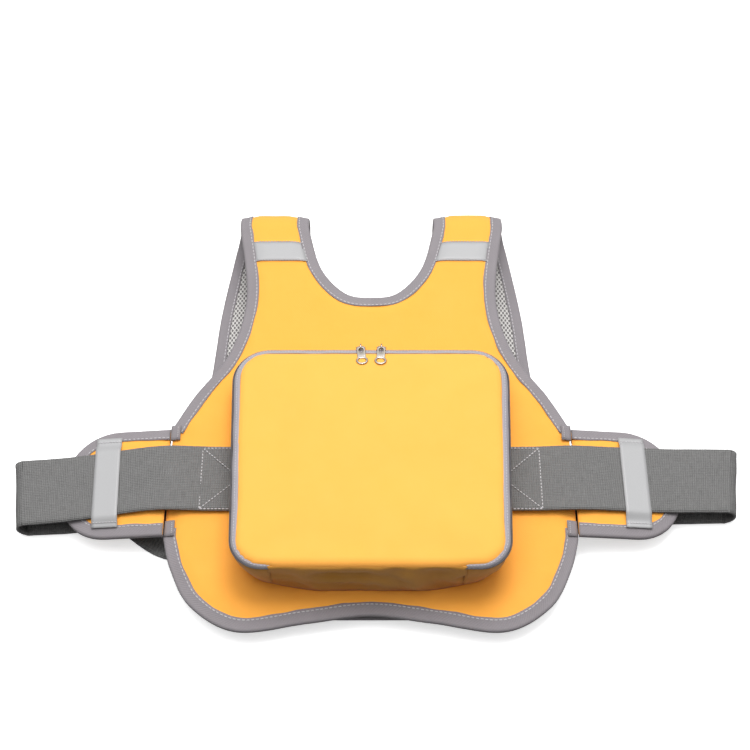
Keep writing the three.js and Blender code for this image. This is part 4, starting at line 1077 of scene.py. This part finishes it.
coil("zip_teeth_on_lid", "pocket_lid", 0.45 * MM, 0.6)
coil("zip_teeth_on_wall", "root", -0.45 * MM, 0.6)
lid_seam = [Vector((x + nx * 3.2 * MM * zip_taper(x, y), y + ny * 3.2 * MM * zip_taper(x, y),
                    rim(y) + 2.3 * MM * zip_taper(x, y)))
            for (x, y), (nx, ny) in zip(ZIP_LINE, flat_normals(ZIP_LINE, 1))]
stitches("zip_stitches_on_lid", "pocket_lid", "zip_tape", [(lid_seam, UP)],
         pitch=2.6 * MM, thick=0.3 * MM)
print("zip made")

# %% [markdown]
# ## Side wings
# Each wing is a small padded panel beside the chest, bound on three sides. It takes its size from
# the frame's own wing, and drops a little toward its tip.

# %% Wing pads
def metal(name, colour, worn, roughness=0.3):
    material, tree, shader = shader_material(name, roughness=roughness, metallic=1.0)
    where = tree.nodes.new("ShaderNodeTexCoord")
    patches = noise_value(tree, where.outputs["Object"], 220.0, 4.0)
    tree.links.new(mix_colour(tree, patches, (*colour, 1), (*worn, 1)), shader.inputs["Base Color"])
    tree.links.new(maths(tree, "ADD", maths(tree, "MULTIPLY", patches, 0.25), roughness - 0.1, clamp=True),
                   shader.inputs["Roughness"])
    return material


def reflective_material():
    material, tree, shader = shader_material("reflective_tape", roughness=0.45)
    where = tree.nodes.new("ShaderNodeUVMap")
    where.uv_map = "flat"
    beads = noise_value(tree, where.outputs[0], 1500.0, 2.0)
    tree.links.new(mix_colour(tree, beads, (0.42, 0.42, 0.425, 1), (0.31, 0.31, 0.315, 1)),
                   shader.inputs["Base Color"])
    shader.inputs["Coat Weight"].default_value = 0.15
    bump = tree.nodes.new("ShaderNodeBump")
    bump.inputs["Distance"].default_value = 0.15 * MM
    tree.links.new(beads, bump.inputs["Height"])
    tree.links.new(bump.outputs[0], shader.inputs["Normal"])
    return material


REFLECTIVE = reflective_material()
WING_HALF = 4 * MM
WING_TIP_DROP = 9 * MM
WING_CORNERS = (0.5 * MM, 36 * MM, 42 * MM, 0.5 * MM)
CORNER_STEPS = 10
BAND_Y = -72 * MM


def wing_half_thickness(distance):
    return 2.0 * MM + 1.8 * MM * smoothstep(0, 14 * MM, distance)


for side, sign in (("left", -1), ("right", 1)):
    low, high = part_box(f"wing_binding_{side}")
    root_x = (low.x, high.x)[sign < 0]
    tip_x = (high.x, low.x)[sign < 0]
    reach = abs(tip_x - root_x)
    middle_z = front_top(BAND_Y) - WING_HALF

    def on_wing(x, y, t, sign=sign, root_x=root_x, reach=reach, middle_z=middle_z):
        u = sign * (x - root_x)
        return Vector((x, y, middle_z - WING_TIP_DROP * u / reach + t))

    plan = rounded([(root_x, low.y), (tip_x, low.y), (tip_x, high.y), (root_x, high.y)],
                   WING_CORNERS, CORNER_STEPS)
    plan = plan if sign > 0 else plan[::-1]
    bm = cut_flat(even(np.vstack([plan, plan[:1]]), 3 * MM)[:-1], 3.5 * MM)
    map_flat(bm)
    lower, upper = two_layers(bm)
    for verts, face_side in ((upper, 1), (lower, -1)):
        gaps = edge_distances(np.array([v.co.xy for v in verts]), [np.vstack([plan, plan[:1]])])
        for vert, gap in zip(verts, gaps):
            uneven = noise.noise(Vector((vert.co.x * 30, vert.co.y * 30, side == "left"))) * 0.5 * MM
            lift = float(wing_half_thickness(gap)) + uneven * float(smoothstep(0, 15 * MM, gap))
            vert.co = on_wing(vert.co.x, vert.co.y, face_side * lift)
    bmesh.ops.recalc_face_normals(bm, faces=bm.faces)
    pad = new_object(f"wing_pad_{side}", bm, YELLOW_CLOTH)
    place(pad, f"wing_{side}", "yellow_fabric", f"wing_outer_fabric_{side}", f"wing_foam_{side}",
          f"wing_lining_{side}")

    edge = plan[CORNER_STEPS + 1:-CORNER_STEPS - 1]
    edge = np.vstack([[(root_x, edge[0][1])], edge, [(root_x, edge[-1][1])]])
    line = even(edge, 3 * MM)
    normals = flat_normals(line, 1)
    section = tape_section(half=wing_half_thickness)
    rows = []
    for (x, y), (nx, ny) in zip(line, normals):
        swell = 1 + 0.1 * noise.noise(Vector((x * 70, y * 70, 5.0)))
        rows.append([on_wing(x + nx * n * swell, y + ny * n * swell, up) for n, up in section])
    place(sweep(f"wing_tape_{side}", rows, BINDING_CLOTH), f"wing_{side}", "binding_tape",
          f"wing_binding_{side}")
    rows_of_thread = []
    for face_side in (1, -1):
        level = face_side * (float(wing_half_thickness(STITCH_IN)) + TAPE_PROUD + 0.1 * MM)
        rows_of_thread.append(([on_wing(x + nx * STITCH_IN, y + ny * STITCH_IN, level)
                                for (x, y), (nx, ny) in zip(line, normals)], UP))
    stitches(f"wing_tape_stitches_{side}", f"wing_{side}", "binding_tape", rows_of_thread)
    print(f"wing_{side}", len(pad.data.polygons), "faces")

# %% [markdown]
# ## Waist bands
# Each band is one length of wide elastic. It is sewn to the chest, crosses onto the wing, passes
# under the reflective keeper, runs out past the wing's tip and turns back underneath.

# %% Bands
BAND_THICK = 1.6 * MM
BAND_WIDTH = 58 * MM
UNDER_POINTS = 6


def band_path(side, sign):
    """Centre points of the band as (distance out, y, z), from the stitched start to its far end."""
    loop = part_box(f"waist_band_loop_{side}")
    under = loop[0].z + BAND_THICK / 2
    reach = max(abs(loop[0].x), abs(loop[1].x)) - (5 * MM if side == "left" else -5 * MM)
    drift = {"left": -8 * MM, "right": 3 * MM}[side]
    swing = {"left": -32 * MM, "right": -8 * MM}[side]
    over = front_top(BAND_Y) + 1.5 * MM
    top = [(112, over), (126, over + 0.2 * MM), (140, over + 0.8 * MM), (152, over + 1.6 * MM),
           (162, over + 2.2 * MM), (172, over + 2.0 * MM), (186, over + 0.6 * MM),
           (200, over - 1.6 * MM), (222, over - 4.6 * MM), (244, over - 7.0 * MM)]
    points = [(a * MM, z) for a, z in top]
    radius = 9.6 * MM
    far = reach - radius
    points += [(0.5 * (244 * MM + far), over - 8.3 * MM), (far, under + 2 * radius)]
    points += [(far + radius * math.sin(a), under + radius + radius * math.cos(a))
               for a in np.linspace(0, math.pi, 9)[1:-1]]
    points += [(far, under), (far - 30 * MM, under), (225 * MM, under + 0.2 * MM), (195 * MM, under),
               (165 * MM, under), (152 * MM, under)]
    path = []
    last_over = len(points) - UNDER_POINTS - 1
    for k, (out, z) in enumerate(points):
        slide = float(smoothstep(160 * MM, reach, out))
        late = swing * (1 - float(smoothstep(150 * MM, 212 * MM, out))) if k > last_over else 0.0
        path.append(Vector((sign * out, BAND_Y + drift * slide + late, z)))
    return spline(path, 110)


def band_rows(path):
    rows = []
    for k, point in enumerate(path):
        ahead = Vector(path[min(k + 1, len(path) - 1)]) - Vector(path[max(k - 1, 0)])
        ahead.normalize()
        side_way = Vector((0, 1, 0)) - ahead * ahead.y
        side_way.normalize()
        up = ahead.cross(side_way)
        half = BAND_WIDTH / 2
        top, bottom = [], []
        for f in np.linspace(-1, 1, 17):
            wave = noise.noise(Vector((point[0] * 22, f * 1.4, point[2] * 30))) * 0.7 * MM
            fray = noise.noise(Vector((k * 0.6, f, 8.0))) * 0.25 * MM
            thick = BAND_THICK / 2 * (1.15 if abs(f) > 0.93 else 1.0)
            shear = f * 4 * MM * float(smoothstep(190 * MM, 290 * MM, abs(point[0])))
            base = Vector(point) + side_way * (f * half + fray) + up * wave
            base.x += math.copysign(1, point[0]) * shear
            base.z = max(base.z, BAND_THICK)
            top.append(base + up * thick)
            bottom.append(base - up * thick)
        rows.append(top + bottom[::-1] + top[:1])
    return rows


for side, sign in (("left", -1), ("right", 1)):
    path = band_path(side, sign)
    band = sweep(f"waist_band_{side}", band_rows(path), ELASTIC_CLOTH)
    length = float(np.linalg.norm(np.diff(path, axis=0), axis=1).sum())
    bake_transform(band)
    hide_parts(f"waist_band_front_{side}", f"waist_band_loop_{side}", f"waist_band_back_{side}")
    print(f"waist_band_{side}", round(length, 3), "metres long")


# %% [markdown]
# ## Box stitches
# A band's start is held to the chest by a stitched box with a crossed middle.

# %% Stitching on the bands
band_top = front_top(BAND_Y) + 2.9 * MM
box_lines = []
for sign in (-1, 1):
    outer, inner, cross = sign * 138 * MM, sign * 113.5 * MM, sign * 107 * MM
    low_y, high_y, mid_y = -100 * MM, -44.5 * MM, BAND_Y
    cut = (outer - inner) / (outer - cross)
    for a, b in (((outer, low_y), (outer, high_y)), ((outer, low_y), (inner, low_y)),
                 ((outer, high_y), (inner, high_y)),
                 ((outer, low_y), (inner, low_y + cut * (mid_y - low_y))),
                 ((outer, high_y), (inner, high_y + cut * (mid_y - high_y)))):
        box_lines.append(([Vector((a[0] + (b[0] - a[0]) * f, a[1] + (b[1] - a[1]) * f, band_top))
                           for f in np.linspace(0, 1, 8)], UP))
stitches("band_box_stitches", "root", "elastic", box_lines, pitch=3.0 * MM, thick=0.5 * MM)

# %% [markdown]
# ## Reflective strips
# A keeper crosses each band on the wing and is sewn down at its ends, so the band can slide under
# it. A shorter strip crosses each shoulder from binding to binding.

# %% Keepers and shoulder strips
WING_SLOPE = 9 / 84
KEEPER_OUT = 215.5 * MM
STRIP_LOW, STRIP_HIGH = 136 * MM, 156 * MM
STRIP_MARGIN = 8 * MM


def edge_x(edge, s):
    return float(np.interp(s, FRONT[edge][:, 1], FRONT[edge][:, 0]))


def tape_strip(name, rows_of_points, body, node, thick=0.7 * MM):
    rows = []
    for row in rows_of_points:
        rows.append(row + [point - Vector((0, 0, thick)) for point in reversed(row)] + row[:1])
    return place(sweep(name, rows, REFLECTIVE), body, "reflective_tape", node)


for side, sign, tilt in (("left", -1, -4 * MM), ("right", 1, 0)):
    path = np.array([tuple(point) for point in band_path(side, sign)])
    upper = path[:60]
    low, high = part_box(f"wing_binding_{side}")
    band_y = float(np.interp(215 * MM, np.abs(upper[:, 0]), upper[:, 1]))
    root_x = (low.x, high.x)[sign < 0]

    def keeper_point(out, y, upper=upper, band_y=band_y, sign=sign, root_x=root_x):
        over_band = float(np.interp(out, np.abs(upper[:, 0]), upper[:, 2])) + 2.3 * MM
        on_pad = (front_top(BAND_Y) - WING_HALF - WING_SLOPE * (out - abs(root_x))
                  + 3.8 * MM + TAPE_PROUD + 0.9 * MM)
        share = float(smoothstep(38 * MM, 29 * MM, abs(y - band_y)))
        return Vector((sign * out, y, on_pad + share * max(over_band - on_pad, 0)))

    strip = []
    for y in np.linspace(high.y - 6.5 * MM, low.y + 6.5 * MM, 44):
        centre = KEEPER_OUT + tilt * (0.5 - (y - low.y) / (high.y - low.y))
        strip.append([keeper_point(centre + f * 10.5 * MM, y) for f in np.linspace(-1, 1, 9)])
    tape_strip(f"keeper_{side}", strip, f"wing_{side}", f"band_keeper_{side}")
    rows_of_thread = [([point + Vector((0, 0, 0.35 * MM)) for point in strip[k]], UP)
                      for k in (2, 41)]
    stitches(f"keeper_stitches_{side}", f"wing_{side}", "reflective_tape", rows_of_thread, pitch=2.6 * MM)

    strip = []
    for f in np.linspace(0, 1, 14):
        row = []
        for s in np.linspace(STRIP_LOW, STRIP_HIGH, 7):
            neck_x, arm_x = edge_x("neck", s), edge_x("arm", s)
            x = neck_x + STRIP_MARGIN + f * (arm_x - neck_x - 2 * STRIP_MARGIN)
            gap = min(x - neck_x, arm_x - x)
            level = PANEL / 2 + float(half_thickness(gap)) + ripple(x, s, gap) + 0.9 * MM
            row.append(on_front(sign * x, s, level))
        strip.append(row)
    tape_strip(f"shoulder_strip_{side}", strip, "root", f"shoulder_reflector_{side}")
    rows_of_thread = [([row[k] + Vector((0, 0, 0.3 * MM)) for row in strip], UP) for k in (0, -1)]
    stitches(f"shoulder_strip_stitches_{side}", "root", "reflective_tape", rows_of_thread, pitch=2.6 * MM,
             thick=0.3 * MM)

for side, sign in (("left", -1), ("right", 1)):
    low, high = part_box(f"wing_binding_{side}")
    for label, tab_y in (("lower", low.y + 6 * MM), ("upper", high.y - 5 * MM)):
        row_set = []
        for out in np.linspace(157.5 * MM, 165.5 * MM, 5):
            lift = PANEL + 1.0 * MM - 2.4 * MM * float(smoothstep(158 * MM, 167 * MM, out))
            row_set.append([on_front(sign * out, tab_y + f * 6.5 * MM, lift - 0.5 * MM * f * f)
                            for f in np.linspace(-1, 1, 6)])
        rows = [row + [point - Vector((0, 0, 1.6 * MM)) for point in reversed(row)] + row[:1]
                for row in row_set]
        place(sweep(f"wing_tab_{label}_{side}", rows, BINDING_CLOTH), "root", "binding_tape")
        bar = [on_front(sign * 159.5 * MM, tab_y + f * 5 * MM, PANEL + 1.3 * MM) for f in (-1, 0, 1)]
        stitches(f"wing_tab_stitches_{label}_{side}", "root", "binding_tape", [(bar, UP)],
                 pitch=1.6 * MM)
print("reflective strips and wing tabs done")

# %% [markdown]
# ## Zip sliders and pull tabs
# A slider is two plates round the coil with a bridge over the upper one. Its tab is a stamped
# plate with an oval eye, and the eye hangs on the bridge.

# %% Sliders and tabs
NICKEL = metal("worn_nickel", (0.60, 0.555, 0.50), (0.36, 0.33, 0.29), roughness=0.34)


def plate(bm, size, centre, turn, rounding):
    """A rounded box joined into the mesh."""
    made = bmesh.ops.create_cube(bm, size=1)["verts"]
    bmesh.ops.scale(bm, vec=size, verts=made)
    edges = list({edge for vert in made for edge in vert.link_edges})
    rounded_part = bmesh.ops.bevel(bm, geom=edges, offset=rounding, segments=3, profile=0.5, affect="EDGES",
                                   material=-1)
    made = list({vert for face in rounded_part["faces"] for vert in face.verts})
    bmesh.ops.rotate(bm, verts=made, matrix=turn)
    bmesh.ops.translate(bm, verts=made, vec=centre)


def tube_rows(points, radius, sides=12):
    rows = []
    for k, point in enumerate(points):
        ahead = (points[min(k + 1, len(points) - 1)] - points[max(k - 1, 0)]).normalized()
        side_way = ahead.orthogonal() if k == 0 else side_way - ahead * side_way.dot(ahead)
        side_way.normalize()
        other = ahead.cross(side_way)
        ring = [point + (side_way * math.cos(a) + other * math.sin(a)) * radius
                for a in np.linspace(0, 2 * math.pi, sides + 1)]
        rows.append(ring[:-1] + ring[:1])
    return rows


BRIDGE_REACH = 2.6 * MM
for side, sign in (("left", -1), ("right", 1)):
    x = sign * 8.6 * MM
    chain = Vector((x, POCKET_HIGH - 0.1 * MM, RIM_FAR - CHAIN_DROP))
    pin = Vector((x, 31.8 * MM, 66.3 * MM))
    lean = Matrix.Rotation(math.radians(-42), 3, "X")
    facing = lean @ UP
    bm = bmesh.new()
    for level in (-1.9, 2.1):
        plate(bm, (8.2 * MM, 9.2 * MM, 1.2 * MM), chain + facing * level * MM, lean, 0.5 * MM)
    plate(bm, (2.4 * MM, 4.0 * MM, 4.2 * MM), chain + facing * 0.1 * MM, lean, 0.3 * MM)
    place(new_object(f"slider_{side}_body", bm, NICKEL), f"slider_{side}", "nickel", f"zip_slider_{side}")
    arch = [pin + Vector((0, -BRIDGE_REACH, -drop * MM)) for drop in (3.8, 2.4, 1.0)]
    arch += [pin + Vector((0, -math.cos(a), math.sin(a))) * BRIDGE_REACH for a in np.linspace(0, math.pi, 11)]
    arch += [pin + Vector((0, BRIDGE_REACH, -drop * MM)) for drop in (2.0, 4.5, 7.2)]
    place(sweep(f"slider_{side}_bridge", tube_rows(arch, 0.6 * MM), NICKEL), f"slider_{side}", "nickel")

    bm = bmesh.new()
    outline = rounded([(-3.6 * MM, -12.5 * MM), (3.6 * MM, -12.5 * MM),
                       (3.5 * MM, 1.0 * MM), (-3.5 * MM, 1.0 * MM)],
                      (0.8 * MM, 0.8 * MM, 2.2 * MM, 2.2 * MM), 7)
    eye = [(1.9 * MM * math.cos(a), -3.3 * MM + 2.4 * MM * math.sin(a))
           for a in np.linspace(0, 2 * math.pi, len(outline) + 1)[:-1]]
    loops = []
    for loop_points in (outline, eye):
        ring = [bm.verts.new((a, b, 0)) for a, b in loop_points]
        loops.extend(bm.edges.new((ring[i - 1], ring[i])) for i in range(len(ring)))
    bmesh.ops.bridge_loops(bm, edges=loops)
    bmesh.ops.translate(bm, verts=two_layers(bm)[1], vec=(0, 0, 1.5 * MM))
    bmesh.ops.translate(bm, verts=bm.verts, vec=(0, 0, -0.75 * MM))
    bmesh.ops.recalc_face_normals(bm, faces=bm.faces)
    sharp = [edge for edge in bm.edges if edge.calc_face_angle(0) > 1.0]
    bmesh.ops.bevel(bm, geom=sharp, offset=0.35 * MM, segments=2, profile=0.5, affect="EDGES", material=-1)
    swing = Matrix.Rotation(math.radians(5 if side == "left" else -3), 3, "Z") @ Matrix.Rotation(
        math.radians(-9), 3, "X")
    bmesh.ops.rotate(bm, verts=bm.verts, matrix=swing)
    bmesh.ops.translate(bm, verts=bm.verts, vec=pin)
    place(new_object(f"tab_{side}_plate", bm, NICKEL), f"tab_{side}", "nickel", f"pull_tab_{side}")
    ring = [swing @ Vector((4.1 * MM * math.cos(a), -14.6 * MM + 3.4 * MM * math.sin(a), 0)) + pin
            for a in np.linspace(0, 2 * math.pi, 33)]
    ring_rows = tube_rows(ring, 1.0 * MM)
    place(sweep(f"tab_{side}_ring", ring_rows[:-1] + ring_rows[:1], NICKEL), f"tab_{side}", "nickel")
print("sliders done")

# %% [markdown]
# ## Inside the pocket
# Under the lid lie a folded bladder, a gas cylinder screwed into its inflator, a lever that fires
# it, and a tube with a cap for blowing by mouth.

# %% The bladder
def plastic(name, colour, second, roughness=0.4):
    material, tree, shader = shader_material(name, roughness=roughness)
    where = tree.nodes.new("ShaderNodeTexCoord")
    fine = noise_value(tree, where.outputs["Object"], 500.0, 3.0)
    tree.links.new(mix_colour(tree, fine, (*colour, 1), (*second, 1)), shader.inputs["Base Color"])
    bump = tree.nodes.new("ShaderNodeBump")
    bump.inputs["Distance"].default_value = 0.1 * MM
    tree.links.new(fine, bump.inputs["Height"])
    tree.links.new(bump.outputs[0], shader.inputs["Normal"])
    return material


BLADDER = plastic("coated_bladder", (0.86, 0.26, 0.03), (0.74, 0.19, 0.02), 0.5)
BLACK = plastic("black_plastic", (0.035, 0.035, 0.038), (0.06, 0.06, 0.062))
RED = plastic("red_plastic", (0.62, 0.035, 0.03), (0.48, 0.025, 0.02))
STEEL = metal("cylinder_steel", (0.62, 0.63, 0.64), (0.45, 0.46, 0.48), roughness=0.35)

low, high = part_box("bladder")
flange = 5 * MM
plan = rounded([(low.x, low.y), (high.x, low.y), (high.x, high.y), (low.x, high.y)], (12 * MM,) * 4, 8)
bm = cut_flat(plan, 2.5 * MM)
map_flat(bm)
under, over = two_layers(bm)
middle = (low.z + high.z) / 2
for verts, face_side in ((over, 1), (under, -1)):
    gaps = edge_distances(np.array([v.co.xy for v in verts]), [np.vstack([plan, plan[:1]])])
    for vert, gap in zip(verts, gaps):
        puff = math.sqrt(float(smoothstep(flange, 26 * MM, gap))) * ((high.z - low.z) / 2 - 0.8 * MM)
        pull = noise.noise(Vector((vert.co.x * 85, vert.co.y * 85, face_side))) * math.exp(
            -((gap - 9 * MM) / (8 * MM)) ** 2) * 1.6 * MM
        fold = noise.noise(Vector((vert.co.x * 20, vert.co.y * 45, 3.0))) * 1.2 * MM * puff / (8 * MM)
        vert.co.z = middle + face_side * (0.5 * MM + puff + max(pull, -puff)) + fold
bmesh.ops.recalc_face_normals(bm, faces=bm.faces)
bladder = place(new_object("folded_bladder", bm, BLADDER), "root", "bladder_fabric", "bladder")
print("bladder", len(bladder.data.polygons), "faces")

# %% [markdown]
# ## The inflator and the mouth tube
# The cylinder and the cap are turned profiles, the housing and the lever are rounded blocks, and
# the tube is a ring drawn along a bent line. Each takes its size from its own box in the frame.

# %% Cylinder, inflator, lever and tube
def turned(name, profile, origin, material, sides=40):
    """A profile of (along x, radius) pairs spun round the x axis through its origin."""
    bm = bmesh.new()
    line = [bm.verts.new(Vector((a, 0, r)) + origin) for a, r in profile]
    edges = [bm.edges.new(pair) for pair in zip(line, line[1:])]
    bmesh.ops.spin(bm, geom=line + edges, cent=origin, axis=(1, 0, 0), angle=2 * math.pi, steps=sides,
                   use_merge=True)
    bmesh.ops.remove_doubles(bm, verts=bm.verts, dist=1e-6)
    bmesh.ops.recalc_face_normals(bm, faces=bm.faces)
    return new_object(name, bm, material)


low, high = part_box("gas_cylinder")
radius = (high.y - low.y) / 2
axis = Vector((0, (low.y + high.y) / 2, (low.z + high.z) / 2))
NECK_RADIUS = 5 * MM
dome = [(low.x + radius * 0.8 * (1 - math.cos(a)), radius * math.sin(a))
        for a in np.linspace(0, math.pi / 2, 9)]
shoulder = [(34 * MM - 16 * MM + 14 * MM * math.sin(a) * 0.9,
             NECK_RADIUS + (radius - NECK_RADIUS) * math.cos(a))
            for a in np.linspace(0, math.pi / 2, 8)]
place(turned("gas_bottle", dome + shoulder + [(high.x, NECK_RADIUS), (high.x, 0)], axis, STEEL), "root",
      "cylinder_steel", "gas_cylinder")

low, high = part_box("inflator_body")
centre = (low + high) / 2
bm = bmesh.new()
plate(bm, (high.x - low.x, high.y - low.y, high.z - low.z), centre, Matrix.Identity(3), 5 * MM)
plate(bm, (10 * MM, 26 * MM, 5 * MM), centre + Vector((-6 * MM, 0, 13 * MM)), Matrix.Identity(3), 1.5 * MM)
place(new_object("inflator_housing", bm, BLACK), "root", "black_plastic", "inflator_body")
low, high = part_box("inflation_lever")
centre = (low + high) / 2
bm = bmesh.new()
plate(bm, (high.x - low.x, high.y - low.y, high.z - low.z), centre, Matrix.Identity(3), 1.2 * MM)
place(new_object("pull_lever", bm, RED), "lever", "red_plastic", "inflation_lever")

TUBE_Z = 38.5 * MM
tube_points = spline([(x * MM, y * MM, TUBE_Z) for x, y in (
    (-34, -44), (-34, -56), (-22, -66), (0, -66), (25, -66), (48, -66))], 50)
tube_points = [Vector(point) for point in tube_points]
place(sweep("mouth_tube", tube_rows(tube_points, 5.8 * MM, 20), BLACK), "root", "black_plastic", "oral_tube")
low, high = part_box("tube_cap")
radius = (high.y - low.y) / 2
axis = Vector((0, (low.y + high.y) / 2, (low.z + high.z) / 2))
length = high.x - low.x
place(turned("cap_shell", [(low.x, 0), (low.x, radius * 0.9), (low.x + length * 0.08, radius),
                           (low.x + length * 0.8, radius), (high.x, radius * 0.7), (high.x, 0)], axis, RED),
      "cap", "red_plastic", "tube_cap")
print("contents done")

# %% [markdown]
# ## The table
# The table looks nearly white to the camera, but sends back little light, so the undersides keep
# their shade.

# %% Floor
bpy.ops.mesh.primitive_plane_add(size=6, location=(0, 0, -0.0005))
floor = bpy.context.object
floor.name = "table_top"
floor_material, floor_tree, floor_shader = shader_material("pale_table", roughness=0.7)
seen = floor_tree.nodes.new("ShaderNodeLightPath")
grain = noise_value(floor_tree, floor_tree.nodes.new("ShaderNodeTexCoord").outputs["Object"], 5.0)
paper = mix_colour(floor_tree, grain, (0.95, 0.95, 0.95, 1), (0.97, 0.97, 0.97, 1))
floor_tree.links.new(mix_colour(floor_tree, seen.outputs["Is Camera Ray"], (0.30, 0.30, 0.30, 1), paper),
                     floor_shader.inputs["Base Color"])
floor_shader.inputs["Emission Color"].default_value = (1, 1, 1, 1)
floor_tree.links.new(maths(floor_tree, "MULTIPLY", seen.outputs["Is Camera Ray"], 0.55),
                     floor_shader.inputs["Emission Strength"])
floor.data.materials.append(floor_material)
